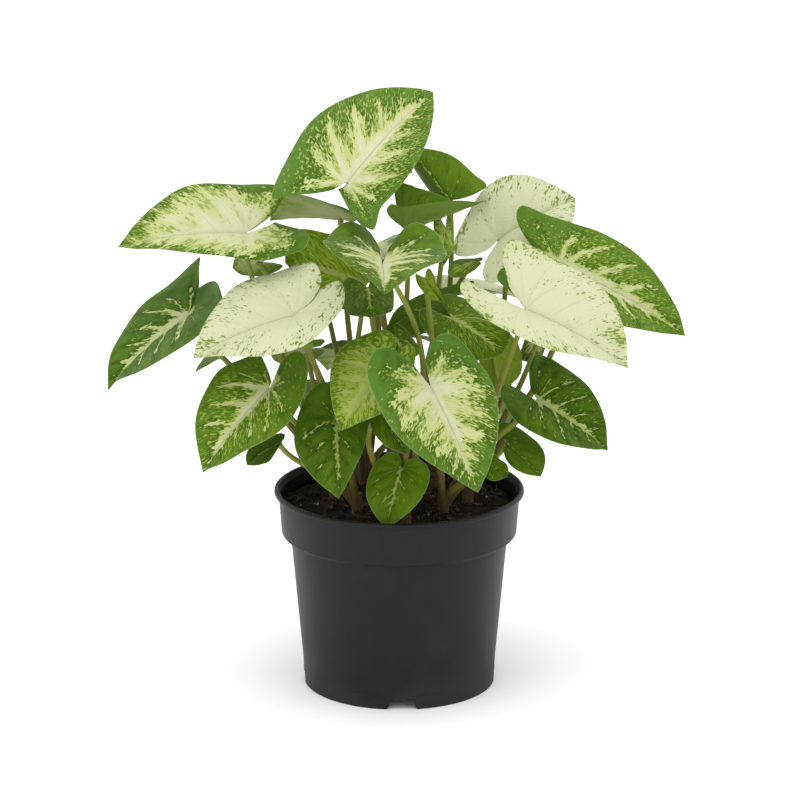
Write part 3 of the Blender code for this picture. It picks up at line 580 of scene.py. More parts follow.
LEAVES = [
    Leaf("top", "centre", (0.57, 0.45, 0.35, 0.7), (-24, 247, 25), (16, 290), ((-46, 270), (-60, 238)),
         ((-11, 235.5), (-13, 223)), (0, 52), -8, fullness=(-0.08, 0.65), opening=(0.85, -0.3)),
    Leaf("upper_left", "left", (0.7, 0.45, 0.35, 0.5), (-73, 222, 15), (-133, 215),
         ((-70, 210.3), (-45, 213.5)), ((-80, 246.5), (-53, 243.5)), (-9, 66), fullness=(0, -0.1),
         opening=(-0.25, 0.7)),
    Leaf("pale_left", "front_left", (0.9, 0.4, 0.4, 0.2), (-50, 182, 55), (-98, 161),
         ((-43.4, 167.2), (-26, 187.5)), ((-65, 201), (-41.8, 207.3)), (-35, 55), 8, fullness=(0.1, -0.15),
         opening=(-0.15, 0.25)),
    Leaf("far_left", "left", (0.26, 0.15, 0.5, 0.5), (-100, 182, 12), (-139, 145),
         ((-94.3, 172.6), (-82.5, 190)), ((-115.5, 191), (-93.5, 210.5)), (-60, 45), 12,
         fullness=(0.1, -0.15), opening=(-0.4, 0.8)),
    Leaf("low_left", "front_left", (0.3, 0.38, 0.35, 0.3), (-62, 146, 52), (-94, 104),
         ((-52.5, 129.6), (-42.5, 153.5)), ((-84, 157), (-66, 163)), (-40, 40), fullness=(-0.12, -0.1),
         opening=(-0.15, 0.8)),
    Leaf("low_front_left", "front_left", (0.17, 0.12, 0.48, 0.2), (-30, 131, 48), (-29, 91),
         ((-15, 128), (-18, 144)), ((-49.3, 130), (-41.5, 146)), (0, 30), 12, fullness=(-0.3, 0.38)),
    Leaf("lime", "front", (0.38, 0.9, 0.15, 0), (-8, 154, 60), (-28, 125), ((1, 143), (8, 161)),
         ((-26, 167.5), (-10, 174.5)), (-30, 40), 8),
    Leaf("white_front", "front_right", (0.64, 0.35, 0.3, 0.95), (15, 147, 75.6), (38, 94),
         ((38.6, 157.6), (25.2, 172.4)), ((-8.5, 136.2), (-15, 158.5)), (15, 36), 8, fullness=(0.2, 0),
         opening=(0.15, -0.05)),
    Leaf("small_front", "front", (0.16, 0.12, 0.25, 0.1), (1, 106, 38), (-6, 76),
         ((14.5, 102), (12.5, 108.7)), ((-14.3, 103.5), (-8.5, 112)), (-15, 30), 12, fullness=(0.15, 0)),
    Leaf("low_right", "front_right", (0.2, 0.3, 0.6, 0.1), (66, 140, 35), (100, 115),
         ((77, 157), (65, 163)), ((59.5, 127.5), (48.3, 140.8)), (40, 48), fullness=(0.05, 0.25),
         opening=(0.35, 0)),
    Leaf("white_right", "right", (0.84, 0.3, 0.4, 0.5), (60, 185, 50), (109, 156),
         ((73, 208.5), (53.6, 218.6)), ((53, 173), (30.5, 190.8)), (35, 50), 8, fullness=(0.3, 0),
         opening=(0.15, 0)),
    Leaf("far_right", "right", (0.4, 0.4, 0.35, 0.5), (76, 206, -5), (136, 172), ((86, 225), (58, 235)),
         ((69, 190), (48, 197)), (20, 45), fullness=(0.35, 0.2), opening=(0.3, 0)),
    Leaf("pale_back", "back_right", (0.93, 0.4, 0.35, 0.1), (47, 219, -32), (83, 239),
         ((35.5, 239.5), (25, 213)), ((60, 208), (44, 197)), (-15, 50), 8, fullness=(0.5, 0.5),
         opening=(0.6, 0.3)),
    Leaf("pointing", "centre", (0.58, 0.35, 0.45, 0.1), (-8, 207, 50), (-7, 192, 91),
         ((21, 213, 52), (15, 224, 32)), ((-34, 219, 50), (-26, 226, 30)), fullness=(0.2, 0.45)),
    Leaf("dark_top", "back_right", (0.03, 0.05, 0.4, 0), (24, 238, -40), (6, 263, -52),
         ((20, 236.5, -46), (25, 234, -44)), ((35.5, 249, -48), (41, 244, -42)), fullness=(1.6, 0.1),
         opening=(1.0, 0.6)),
    Leaf("trough", "centre", (0.08, 0.2, 0.3, 0.2), (3, 224, -14), (41, 238, -18),
         ((4, 243.5, -30), (-1, 246, -30)), ((2, 234, -2), (-5, 235, -2)), bow=0, camber=0.02,
         fullness=(-0.95, -0.5)),
    Leaf("under_top", "back_left", (0.75, 0.4, 0.3, 0.4), (-27, 229, -34), (-61, 228, -44),
         ((-42, 241, -24), (-27, 234, -22)), ((-35, 232, -56), (-23, 232, -52))),
    Leaf("broad_lime", "left", (0.2, 0.7, 0.2, 0), (-16, 196, 10), (-54, 208, -6),
         ((-26, 184, 26), (-11, 187, 26)), ((-34, 220, -18), (-20, 221, -18))),
    Leaf("under_pointing", "front", (0.14, 0.4, 0.55, 0), (-15, 196, 30), (-13, 181, 52),
         ((-3, 188, 34), (-4, 198, 20)), ((-25, 186, 34), (-27, 195, 20))),
    Leaf("curled", "back_right", (0.4, 0.8, 0.2, 0), (22, 225, -16), (21, 206, 6),
         ((26, 219, -6), (25, 228, -20)), ((18, 219, -6), (16, 228, -20))),
    Leaf("small_under", "back_right", (0.2, 0.6, 0.4, 0), (35, 208, -30), (23, 203, -24),
         ((29, 201, -20), (36, 204, -24)), ((30, 210, -36), (37, 210, -34))),
    Leaf("young", "front_right", (0.2, 0.9, 0.2, 0), (12, 200, 30), (21, 188, 44),
         ((17, 197, 36), (16, 203, 28)), ((11, 194, 38), (8, 199, 30))),
    Leaf("shade_centre", "centre", (0.04, 0.15, 0.5, 0), (23, 190, -10), (-6, 175.5, 8),
         ((8, 173, 10), (24, 179, 0)), ((13.5, 193.5, -14), (30, 198, -22))),
    Leaf("shade_right", "right", (0.16, 0.5, 0.5, 0), (25, 181, 12), (49, 163, 24),
         ((44, 181, 4), (30, 190, -2)), ((24, 163, 30), (11, 176, 20))),
    Leaf("backlit", "right", (0.1, 0.8, 0.3, 0), (44, 167, 0), (48, 146, 6), ((38, 157, 4), (39, 167, -2)),
         ((58, 160, -4), (55, 171, -8))),
    Leaf("small_right", "front_right", (0.1, 0.12, 0.3, 0.2), (51, 119, 30), (68, 102, 42),
         ((64, 121, 28), (54, 128, 20)), ((52, 109, 38), (50, 114, 32))),
    Leaf("small_low", "front_right", (0.05, 0.4, 0.5, 0), (42, 109, 36), (52, 102, 48),
         ((49, 110, 38), (44, 114, 32)), ((43, 101, 46), (39, 105, 40))),
    Leaf("small_left", "front_left", (0.1, 0.2, 0.5, 0.3), (-57, 119, 40), (-73, 108, 48),
         ((-62, 110, 50), (-58, 115.5, 42)), ((-66, 120, 36), (-59, 123, 34)), opening=(0.5, 0)),
    Leaf("under_left", "left", (0.7, 0.4, 0.3, 0.3), (-66, 208.5, -15), (-79, 205, -18),
         ((-70, 215, -6), (-58, 214, -6)), ((-70, 201.5, -26), (-58, 203, -24))),
    Leaf("under_white", "front", (0.06, 0.2, 0.5, 0.1), (-9, 134, 56), (4, 113, 66),
         ((1, 133, 54), (-7, 140, 50)), ((-13, 125, 60), (-14, 133, 54))),
    Leaf("middle", "front", (0.2, 0.5, 0.5, 0), (-2, 171, 40), (4, 160, 52), ((9, 167, 42), (3, 175, 34)),
         ((-6, 164, 46), (-7, 171, 38))),
    Leaf("under_right", "right", (0.6, 0.4, 0.3, 0.3), (66, 172, -6), (62, 160, -16),
         ((69.5, 166, -11), (71, 172, -5)), ((59, 166, -12), (61, 172, -7))),
    Leaf("under_low", "left", (0.6, 0.4, 0.3, 0.3), (-43, 166, -2), (-61, 163, -4),
         ((-52, 170, 6), (-40, 170, 6)), ((-52, 158, -14), (-40, 160, -12))),
]

BACK_LEAVES = [
    BackLeaf("back_low", "back_left", (0.2, 0.2, 0.5, 0.3), 86, 66, 115, 47, 33),
    BackLeaf("back_low_right", "back_right", (0.55, 0.3, 0.4, 0.6), 58, 62, 126, 48, 32),
    BackLeaf("back_low_left", "back_left", (0.14, 0.15, 0.6, 0.3), 132, 64, 128, 48, 32),
    BackLeaf("back_middle", "back_left", (0.66, 0.3, 0.4, 0.7), 110, 65, 146, 44, 25),
    BackLeaf("back_middle_right", "back_right", (0.26, 0.2, 0.5, 0.4), 64, 59, 150, 47, 24),
    BackLeaf("back_side_right", "right", (0.2, 0.7, 0.4, 0), 27, 70, 165, 50, 25),
    BackLeaf("back_mid_right", "back_right", (0.86, 0.3, 0.4, 0.4), 55, 60, 179, 50, 15),
    BackLeaf("back_high", "back_left", (0.5, 0.3, 0.4, 0.7), 98, 50, 198, 52, 8),
    BackLeaf("back_mid_left", "back_left", (0.3, 0.3, 0.45, 0.4), 131, 54, 181, 52, 16),
    BackLeaf("back_side_left", "left", (0.16, 0.2, 0.55, 0.3), 160, 62, 164, 48, 25),
    BackLeaf("back_top", "centre", (0.72, 0.3, 0.35, 0.6), 122, 38, 238, 50, 8),
]

BLADE_THICKNESS = 0.42
BLADE_COLUMNS = 112
BLADE_RINGS = 20
WAVE_SHARE = 0.011
QUILT_SHARE = 0.0075
CHANNEL_DEPTH = 0.35
CHANNEL_WIDTH = 0.9
RIDGE_HEIGHT = 0.9
RIDGE_WIDTH = 1.0
VEIN_SPACING = 0.21
VEIN_START = 0.27
VEIN_TURN = 0.95
VEIN_CURVE = 0.7
LOBE_VEIN_ANGLE = math.radians(30)
LOBE_FIBRES = 0.22
BLADE_SHIFT = 37
HALF_SHIFT = 19
EDGE_TAPER = 6
END_TAPER = 12
TIP_CALM = 6


def as_seen(right, height, front):
    """The point seen `right` of the pot's axis and level with `height` on it, `front` before it."""
    on_axis = Vector((right, 0.0, height))
    return EYE + (on_axis - EYE) * ((-EYE.y - front) / -EYE.y)


def on_plane(right, height, origin, normal):
    """Where the sight line through (right, height) on the axis's plane meets a leaf's plane."""
    sight = Vector((right, 0.0, height)) - EYE
    return EYE + sight * ((origin - EYE).dot(normal) / sight.dot(normal))


def seen_corners(leaf):
    """A seen leaf's notch, tip and its left and right (widest point, lobe)."""
    turn, tilt = (math.radians(angle) for angle in leaf.facing)
    face = Vector((math.sin(turn) * math.cos(tilt), -math.cos(turn) * math.cos(tilt), math.sin(tilt)))
    notch = as_seen(*leaf.notch)
    tip = as_seen(*leaf.tip) if len(leaf.tip) == 3 else on_plane(*leaf.tip, notch, face)
    midrib = (tip - notch).normalized()
    halves = []
    for spots, side in ((leaf.left, 1), (leaf.right, -1)):
        half_face = Matrix.Rotation(side * math.radians(leaf.fold), 3, midrib) @ face
        halves.append([
            as_seen(*spot) if len(spot) == 3 else on_plane(*spot, notch, half_face)
            for spot in spots])
    return notch, tip, *halves


def back_corners(leaf):
    """A hidden leaf's notch, tip and its left and right (widest point, lobe)."""
    around, droop = math.radians(leaf.around), math.radians(leaf.droop)
    outward = Vector((math.cos(around), math.sin(around), 0.0))
    notch = outward * leaf.reach + Vector((0, 0, leaf.height))
    midrib = outward * math.cos(droop) - Vector((0, 0, math.sin(droop)))
    face = outward * math.sin(droop) + Vector((0, 0, math.cos(droop)))
    lift = math.radians(leaf.fold)
    halves = []
    for side in (1, -1):
        across = face.cross(midrib) * side
        across = across * math.cos(lift) + face * math.sin(lift)
        halves.append([notch + across * HALF_WIDTH * leaf.length,
                       notch + (across * LOBE_OUT - midrib * LOBE_BACK) * leaf.length])
    return notch, notch + midrib * leaf.length, *halves


def leaf_corners(leaf):
    return seen_corners(leaf) if isinstance(leaf, Leaf) else back_corners(leaf)


def leaf_face(corners):
    """The direction that the middle of a leaf's upper side looks in."""
    notch, tip, left, right = corners
    midrib = tip - notch
    left_face = midrib.cross(left[0] - notch).normalized()
    right_face = (right[0] - notch).cross(midrib).normalized()
    return (left_face + right_face).normalized()


def half_outline(share):
    """A point on half a leaf's outline, from its tip (0) round the lobe to the sinus (1)."""
    spans = len(HALF_OUTLINE) - 1
    index = min(int(share * spans), spans - 1)
    part = share * spans - index
    before, start, end, after = (
        Vector(HALF_OUTLINE[min(max(index + step, 0), spans)]) for step in (-1, 0, 1, 2))
    return (start + (end - before) * 0.5 * part
            + (before * 2 - start * 5 + end * 4 - after) * 0.5 * part ** 2
            + (start * 3 - before - end * 3 + after) * 0.5 * part ** 3)


def flat_place(leaf, side, ring):
    """A blade point's place in a flat leaf one unit long: along, across in half widths, and crossing.

    The last is how far a lobe's inner side lies over towards the other half.
    """
    along, across = half_outline(abs(side)) * ring
    fullness = leaf.fullness[0] if side > 0 else leaf.fullness[1]
    opening = leaf.opening[0] if side > 0 else leaf.opening[1]
    inner = max(abs(side) - LOBE_SHARE, 0.0) / (1 - LOBE_SHARE)
    if inner > 0:
        along -= max(opening, 0.0) * (along + across * LOBE_BACK / LOBE_OUT)
    return along, across / HALF_WIDTH * (1 + fullness * max(along, 0.0)), max(-opening, 0.0) * inner * ring


def blade_point(leaf, corners, side, ring):
    """A point of the blade's middle surface.

    `side` runs from -1 at the right sinus over 0 at the midrib to 1 at the left sinus, and
    `ring` from 0 at the notch to 1 at the edge. The lobes bend back from the widest line.
    """
    notch, tip, left, right = corners
    widest, lobe = left if side > 0 else right
    opposite = right[0] if side > 0 else left[0]
    midrib = tip - notch
    spread = widest - notch
    along, out, crossing = flat_place(leaf, side, ring)
    soft = math.hypot(along, LOBE_BLEND * out)
    ahead, behind = (soft + along) / 2, (soft - along) / 2 / LOBE_BACK
    back = lobe - notch - spread * LOBE_OUT / HALF_WIDTH
    reach = along * (1 - along) if along > 0 else along * (1 + along / LOBE_BACK)
    half_face = midrib.cross(spread).normalized() * (1 if side > 0 else -1)
    return (notch + midrib * ahead + spread * out + back * behind + (opposite - notch) * crossing
            + leaf_face(corners) * leaf.bow * midrib.length * 4 * reach
            + half_face * leaf.camber * spread.length * 4 * out * (1 - out))


def vein_place(along, across):
    """Where a flat place lies among the side veins: its vein number, and its place along the fibres.

    Side veins leave the midrib at steps of VEIN_SPACING and curve towards the tip. Behind the first
    one, they fan out from the notch into the lobe.
    """
    curved = along - VEIN_CURVE * across ** 2
    start = (curved - VEIN_START * across) / (1 + VEIN_TURN * across)
    if start >= 0:
        slope = VEIN_START + VEIN_TURN * start
        return start / VEIN_SPACING, start / math.hypot(1, slope), across * math.hypot(1, slope)
    turn = math.atan2(across, curved) - math.atan2(1, VEIN_START)
    return -turn / LOBE_VEIN_ANGLE, -turn * LOBE_FIBRES, math.hypot(across, curved)


def blade(build, leaf, number, layers):
    """Add one blade: an upper and a lower sheet, folded at the edge and joined at the sinus.

    Of the layers that the material reads, `veins` holds the vein number, the place across and the ring,
    `fibres` the places over and along the fibres, shifted so that no two halves are flecked alike, and
    the way to the margin, `tones` three tones, and `kind` the fourth, 1 below, and the half's number.
    """
    corners = leaf_corners(leaf)
    length = (corners[1] - corners[0]).length
    upward = leaf_face(corners)
    verts = bmesh.ops.create_grid(
        build, x_segments=BLADE_COLUMNS, y_segments=2 * BLADE_RINGS, size=1.0)["verts"]
    faces = {face for vert in verts for face in vert.link_faces}
    lifts = {}
    for face in faces:
        middle = face.calc_center_median()
        half = math.copysign(1, middle.x)
        for corner in face.loops:
            side, ring = corner.vert.co.x, 1 - abs(corner.vert.co.y)
            along, out, crossing = flat_place(leaf, abs(side) * half, ring)
            vein, over, down = vein_place(along, out * HALF_WIDTH)
            margin = half_outline(abs(side)).length * (1 - ring) * length
            corner[layers["veins"]] = (vein, out * HALF_WIDTH, ring)
            corner[layers["fibres"]] = (over * length + BLADE_SHIFT * number,
                                        down * length + HALF_SHIFT * half, margin)
        face[layers["tones"]] = leaf.tones[:3]
        face[layers["kind"]] = (leaf.tones[3], float(middle.y < 0), number + 0.25 * half)
    for vert in verts:
        side, fold = vert.co.x, vert.co.y
        ring = 1 - abs(fold)
        along, out, crossing = flat_place(leaf, side, ring)
        vein = vein_place(along, out * HALF_WIDTH)[0]
        off_rib = out * HALF_WIDTH * length
        inner = math.sin(math.pi * ring) ** 0.8 * (1 - abs(side) ** 6)
        quilt = QUILT_SHARE * length * inner * (0.5 - 0.5 * math.cos(math.tau * vein))
        edge = (min(1.0, (1 - ring) * EDGE_TAPER) * min(1.0, (1 - abs(side)) * END_TAPER)
                * min(1.0, ring * END_TAPER))
        relief = quilt - CHANNEL_DEPTH * inner * math.exp(-(off_rib / CHANNEL_WIDTH) ** 2)
        if fold < 0:
            ridge = RIDGE_HEIGHT * (1 - ring) * math.exp(-(off_rib / RIDGE_WIDTH) ** 2)
            relief = ridge * edge - relief
        lifts[vert] = BLADE_THICKNESS / 2 * edge + relief
        wave = math.sin(side * (17 + number % 5) + number * 1.7) + 0.5 * math.sin(side * 31 + number)
        calm = min(1.0, abs(side) * TIP_CALM)
        vert.co = (blade_point(leaf, corners, side, ring)
                   + upward * wave * WAVE_SHARE * length * ring ** 3 * calm) * MM
    border = [vert for vert in verts if vert.is_boundary]
    merged = bmesh.ops.find_doubles(build, verts=border, dist=0.0001 * MM)["targetmap"]
    bmesh.ops.weld_verts(build, targetmap=merged)
    faces = [face for face in faces if face.is_valid]
    for face in faces:
        face.normal_update()
    looks_up = sum(face.normal.dot(upward) * (0.5 - face[layers["kind"]][1]) * face.calc_area()
                   for face in faces)
    if looks_up < 0:
        bmesh.ops.reverse_faces(build, faces=faces)
    alive = [vert for vert in verts if vert.is_valid]
    for vert in alive:
        vert.normal_update()
    for vert in alive:
        vert.co += vert.normal * lifts[vert] * MM


def blade_finish():
    """Living leaf: flecked cream and yellow-green along the veins, over green."""
    leaf = Finish("leaf_blade")
    rise, mix = leaf.rise, leaf.mix
    cream_white, cream_yellow = colour(238, 241, 196), colour(220, 227, 150)
    lime_pale, lime_deep = colour(196, 212, 112), colour(176, 202, 34)
    green_cool, green_warm, green_dark = colour(98, 146, 54), colour(108, 146, 14), colour(50, 86, 2)
    under_green, under_pale = colour(140, 166, 92), colour(204, 216, 156)
    vein_line, edge_line, dry_tip = colour(184, 188, 140), colour(190, 206, 130), colour(130, 104, 56)

    fibres = leaf.attribute("fibres")
    vein, across, ring = leaf.split(leaf.attribute("veins"))
    margin = leaf.split(fibres)[2]
    cream, lime, depth = leaf.split(leaf.attribute("tones"))
    cool, under, half_number = leaf.split(leaf.attribute("kind"))
    off_vein = leaf.math("PINGPONG", vein, 0.5) * 2
    vein_number = leaf.math("ROUND", vein)
    seed = leaf.node("CombineXYZ", {}, {"X": vein_number, "Y": half_number})
    luck = leaf.node("TexWhiteNoise", {"noise_dimensions": "2D"}, {"Vector": seed})
    along_fibres = leaf.stretch(fibres, (1.0, 0.27, 0.0))
    streaks = leaf.noise(along_fibres, 0.6, 4.0, 0.62) - 0.5
    flecks = leaf.noise(along_fibres, 1.9, 2.0) - 0.5
    clouds = leaf.noise(leaf.stretch(fibres, (1.0, 0.8, 0.0)), 0.11, 3.0) - 0.5

    starred = rise(cream, 0.0, 0.42)
    greener = 1 - rise(cream, 0.6, 0.9)
    strength = (0.35 + 0.65 * luck) * (1 - 0.16 * leaf.math("ABSOLUTE", vein_number))
    patch = cream * 1.6 - 0.4 - ring * (1.3 - cream) - off_vein * 0.32 * greener
    rib = starred * (1 - ring * ring) * 0.9 - across * 9
    side_veins = starred * strength * (1.05 - ring * 1.1) - off_vein * 0.9 - (1 - starred) * 0.3
    plain_edge = rise(ring, 0.72, 1.0) * 0.32 + rise(0 - vein, 0.3, 2.0) * ring * 0.5
    field = leaf.math("MAXIMUM", patch, leaf.math("MAXIMUM", rib, side_veins)) - plain_edge * greener
    rough_edge = streaks * 2.4 + flecks * 1.1 + clouds * 0.6
    speckle = streaks * 1.7 + flecks * 1.9 + clouds * 0.9
    dashes = rise(speckle - ring * ring * 0.46, -0.6, -0.53)
    cream_mask = rise(field + rough_edge, 0.0, 0.06) * (dashes * (1 - greener * 0.35) + greener * 0.35)
    lime_field = leaf.math("MAXIMUM", field * 1.6 - 0.25, -0.45 - 0.35 * depth - 0.5 * plain_edge)
    lime_field = lime_field + 0.1 + 0.95 * lime - 0.3 * rise(lime, 0.5, 0.8) * ring
    lime_mask = rise(lime_field + flecks * 2.6 + streaks * 1.2, 0.0, 0.12)
    lime_mask = lime_mask * (0.4 + 0.6 * greener)

    plain = 1 - rise(field, -0.7, -0.1)
    green = mix(cool * (0.35 + 0.65 * plain), green_warm, green_cool)
    shade = rise(depth + 0.25 * (1 - plain) + clouds * 0.8 + streaks * 0.9, 0.1, 1.0)
    green = mix(shade, green, green_dark)
    lime_tint = mix(rise(cream, 0.1, 0.6), lime_deep, lime_pale)
    creamy = mix(rise(field + clouds * 1.2, 0.0, 0.6), cream_yellow, cream_white)
    limy = leaf.math("MAXIMUM", rise(lime, 0.5, 0.8), 0.85 - rise(cream, 0.12, 0.32))
    creamy = mix(limy, creamy, lime_pale)
    face = mix(cream_mask, mix(lime_mask * 0.8, green, lime_tint), creamy)
    rib_line = 1 - rise(across, 0.002, 0.009)
    side_line = (1 - rise(off_vein, 0.01, 0.05)) * (1 - rise(ring, 0.5, 0.85))
    face = mix((rib_line * 0.5 + side_line * 0.25) * (0.3 + 0.7 * cream_mask), face, vein_line)
    edge = 1 - rise(margin, 0.12, 0.4)
    face = mix(edge * 0.5, face, edge_line)
    tip = 1 - rise(margin + across * 60, 0.3, 1.4)
    face = mix(tip * 0.6, face, dry_tip)
    pale = mix(rise(field + clouds, -0.2, 0.5), under_green, under_pale)
    back = mix(0.35, mix(lime * 0.7, pale, lime_deep), face)

    cells = leaf.node("TexVoronoi", {"feature": "DISTANCE_TO_EDGE"}, {"Vector": fibres, "Scale": 0.55})
    height = rise(cells, 0.0, 0.25) * 0.5 + streaks * 0.35 + rise(off_vein, 0.0, 0.16) * 0.7
    material = leaf.finish(
        Base_Color=mix(under, face, back),
        Roughness=0.46 + 0.10 * cream_mask + 0.18 * under + clouds * 0.15,
        Specular_IOR_Level=0.1,
        Normal=leaf.bump(height, 0.00022, 0.55))
    glow = leaf.node("BsdfTranslucent", {}, {"Color": colour(190, 214, 60)})
    through = leaf.node("MixShader", {}, {0: 0.16, 1: Wire(leaf, leaf.shader.outputs[0]), 2: glow})
    leaf.tree.links.new(through.socket, leaf.tree.nodes["Material Output"].inputs["Surface"])
    return material


SHOOTS = {
    "front_left": (-20, -17),
    "front_right": (21, -19),
    "left": (-31, 5),
    "right": (33, 3),
    "centre": (-3, -1),
    "back_left": (-17, 24),
    "back_right": (17, 25),
    "front": (3, -34),
}
blade_material = blade_finish()
for shoot in SHOOTS:
    blades = bmesh.new()
    layers = {name: blades.loops.layers.float_vector.new(name) for name in ("veins", "fibres")}
    layers |= {name: blades.faces.layers.float_vector.new(name) for name in ("tones", "kind")}
    for leaf_number, leaf in enumerate(LEAVES + BACK_LEAVES):
        if leaf.shoot == shoot:
            blade(blades, leaf, leaf_number, layers)
    finished(f"shoot_{shoot}_blades", blades, blade_material, [f"shoot_{shoot}"], 50)


# Stalks
# Each leaf's round, slightly grooved stalk, grown from its shoot's short crown stem. Pale green below the
# blade, it turns olive and brown towards the soil, and it bows clear of the leaves and the other stalks.

STALK_FOOT_RADIUS = 2.2
STALK_HEAD_RADIUS = 1.2
STALK_FOOT_HEIGHT = 2.0
STALK_LEAN = 0.7
FOOT_PULL = 0.42
HEAD_PULL = 0.30
FOOT_SWAY = 0.8
ARRIVAL_FACE = 0.5
ARRIVAL_RISE = 0.35
JOINT_DEPTH = 1.1
JOINT_SLANT = 0.9
JOINT_AHEAD = 0.6
ROUTE_SAMPLES = 44
ROUTE_BLADE = (9, 4)
SWAY_SIZES = (5, 10, 15, 20, 26)
SWAY_STEP = 45
BLADE_ROOM = 2.4
STALK_ROOM = 3.6
SHARED_FOOT = 0.24
FREE_LENGTH = 0.84
STALK_RINGS = 30
STALK_SIDES = 14
GROOVE_DEPTH = 0.22
JOINT_SWELLING = 0.25
SWELLING_SHARE = 0.04
CROWN_RADIUS = 3.6
CROWN_TOP_RADIUS = 2.6
CROWN_FOOT = 67.3
CROWN_TOP = 99.0
CROWN_SCARS = 9
SCAR_DEPTH = 0.35
CROWN_RINGS = 40
CROWN_SIDES = 16


def blade_surface(leaf, around, rings):
    """The blade's middle surface as a fan of rings about the notch, split into triangles."""
    corners = leaf_corners(leaf)
    build = bmesh.new()
    bmesh.ops.create_grid(build, x_segments=2 * around, y_segments=rings, size=1.0)
    for vert in build.verts:
        vert.co = blade_point(leaf, corners, vert.co.x, (vert.co.y + 1) / 2) * MM
    bmesh.ops.remove_doubles(build, verts=build.verts, dist=0.01 * MM)
    bmesh.ops.triangulate(build, faces=build.faces)
    return build


def stalk_ends(leaf):
    """A stalk's foot on its crown, its joint under the notch, and its directions there."""
    corners = leaf_corners(leaf)
    notch, tip = corners[:2]
    midrib = (tip - notch).normalized()
    face = leaf_face(corners)
    foot = Vector((*SHOOTS[leaf.shoot], SOIL_TOP + STALK_FOOT_HEIGHT))
    away = notch - foot
    level = Vector((away.x, away.y, 0.0))
    up = Vector((0, 0, 1))
    rise = (up + level / away.length * STALK_LEAN).normalized()
    arrival = (away.normalized() + face * ARRIVAL_FACE + up * ARRIVAL_RISE).normalized()
    slant = max(arrival.dot(face), 0.0)
    joint = notch - face * (JOINT_DEPTH - JOINT_SLANT * slant) + midrib * JOINT_AHEAD
    return foot, joint, rise, arrival


def stalk_route(leaf, sway, samples):
    """Points along a stalk, which leaves its crown steeply and bows sideways by `sway`."""
    foot, joint, rise, arrival = stalk_ends(leaf)
    reach = (joint - foot).length
    first = foot + rise * reach * FOOT_PULL + sway * FOOT_SWAY
    second = joint - arrival * reach * HEAD_PULL + sway
    points = []
    for index in range(samples + 1):
        part = index / samples
        rest = 1 - part
        points.append(foot * rest ** 3 + first * 3 * rest ** 2 * part
                      + second * 3 * rest * part ** 2 + joint * part ** 3)
    return points


def sways():
    """Sideways bows to try for a stalk, from none outwards."""
    yield Vector((0, 0, 0))
    for size in SWAY_SIZES:
        for degrees in range(0, 360, SWAY_STEP):
            angle = math.radians(degrees)
            yield Vector((size * math.cos(angle), size * math.sin(angle), 0))


def route_room(leaf, points, trees, routes):
    """The least room that a route leaves to the blades and to the stalks already routed."""
    room = math.inf
    for name, tree in trees.items():
        stretch = points[: int(len(points) * FREE_LENGTH)] if name == leaf.name else points
        for point in stretch:
            room = min(room, tree.find_nearest(point * MM)[3] / MM - BLADE_ROOM)
    own = np.array([tuple(point) for point in points])
    for other, path in routes:
        start = int(len(own) * SHARED_FOOT) if other.shoot == leaf.shoot else 0
        gaps = np.linalg.norm(own[start:, None, :] - path[None, start:, :], axis=2)
        room = min(room, gaps.min() - STALK_ROOM)
    return room


def clear_routes():
    """Choose each stalk's bow, so that it passes beside the blades and the other stalks."""
    leaves = LEAVES + BACK_LEAVES
    trees = {}
    for leaf in leaves:
        surface = blade_surface(leaf, *ROUTE_BLADE)
        trees[leaf.name] = BVHTree.FromBMesh(surface)
        surface.free()
    routes = []
    chosen = {}
    for leaf in leaves:
        best = None
        for sway in sways():
            points = stalk_route(leaf, sway, ROUTE_SAMPLES)
            room = route_room(leaf, points, trees, routes)
            if best is None or room > best[0]:
                best = (room, sway, points)
            if room > 0:
                break
        chosen[leaf.name] = best[1]
        routes.append((leaf, np.array([tuple(point) for point in best[2]])))
    return chosen


def stalk_radius(share, angle):
    """A stalk's radius at a share of its length: stout at the foot, thin above, swollen at the joint."""
    taper = STALK_HEAD_RADIUS + (STALK_FOOT_RADIUS - STALK_HEAD_RADIUS) * (1 - share) ** 1.6
    swelling = JOINT_SWELLING * math.exp(-((1 - share) / SWELLING_SHARE) ** 2)
    groove = GROOVE_DEPTH * max(0.0, math.cos(angle)) ** 8 * (1 - share) ** 0.5
    return taper * (1 - groove) + swelling


def crown_radius(share, angle):
    """The crown stem's radius, ringed with the scars of old leaves."""
    taper = CROWN_RADIUS + (CROWN_TOP_RADIUS - CROWN_RADIUS) * share
    return taper - SCAR_DEPTH * abs(math.sin(share * CROWN_SCARS * math.pi)) ** 6


def stalk_finish():
    stalk = Finish("leaf_stalk")
    rise, mix = stalk.rise, stalk.mix
    place = stalk.place()
    share = stalk.split(stalk.attribute("along"))[0]
    patches = stalk.noise(stalk.stretch(place, (1.0, 1.0, 0.3)), 120.0, 4.0, 0.6)
    strands = stalk.noise(stalk.stretch(place, (1.0, 1.0, 0.04)), 1900.0, 2.0)
    green = mix(rise(share + (patches - 0.5) * 0.5, 0.45, 1.0), colour(142, 134, 44), colour(150, 166, 58))
    brown = mix(patches, colour(84, 64, 42), colour(120, 98, 58))
    mixed = mix(rise(share + (patches - 0.5) * 0.6, 0.02, 0.42), brown, green)
    return stalk.finish(
        Base_Color=mix(strands * 0.35, mixed, colour(150, 150, 98)),
        Roughness=0.45 + 0.15 * patches,
        Specular_IOR_Level=0.15,
        Normal=stalk.bump(strands + 0.5 * patches, 0.0002, 0.5))


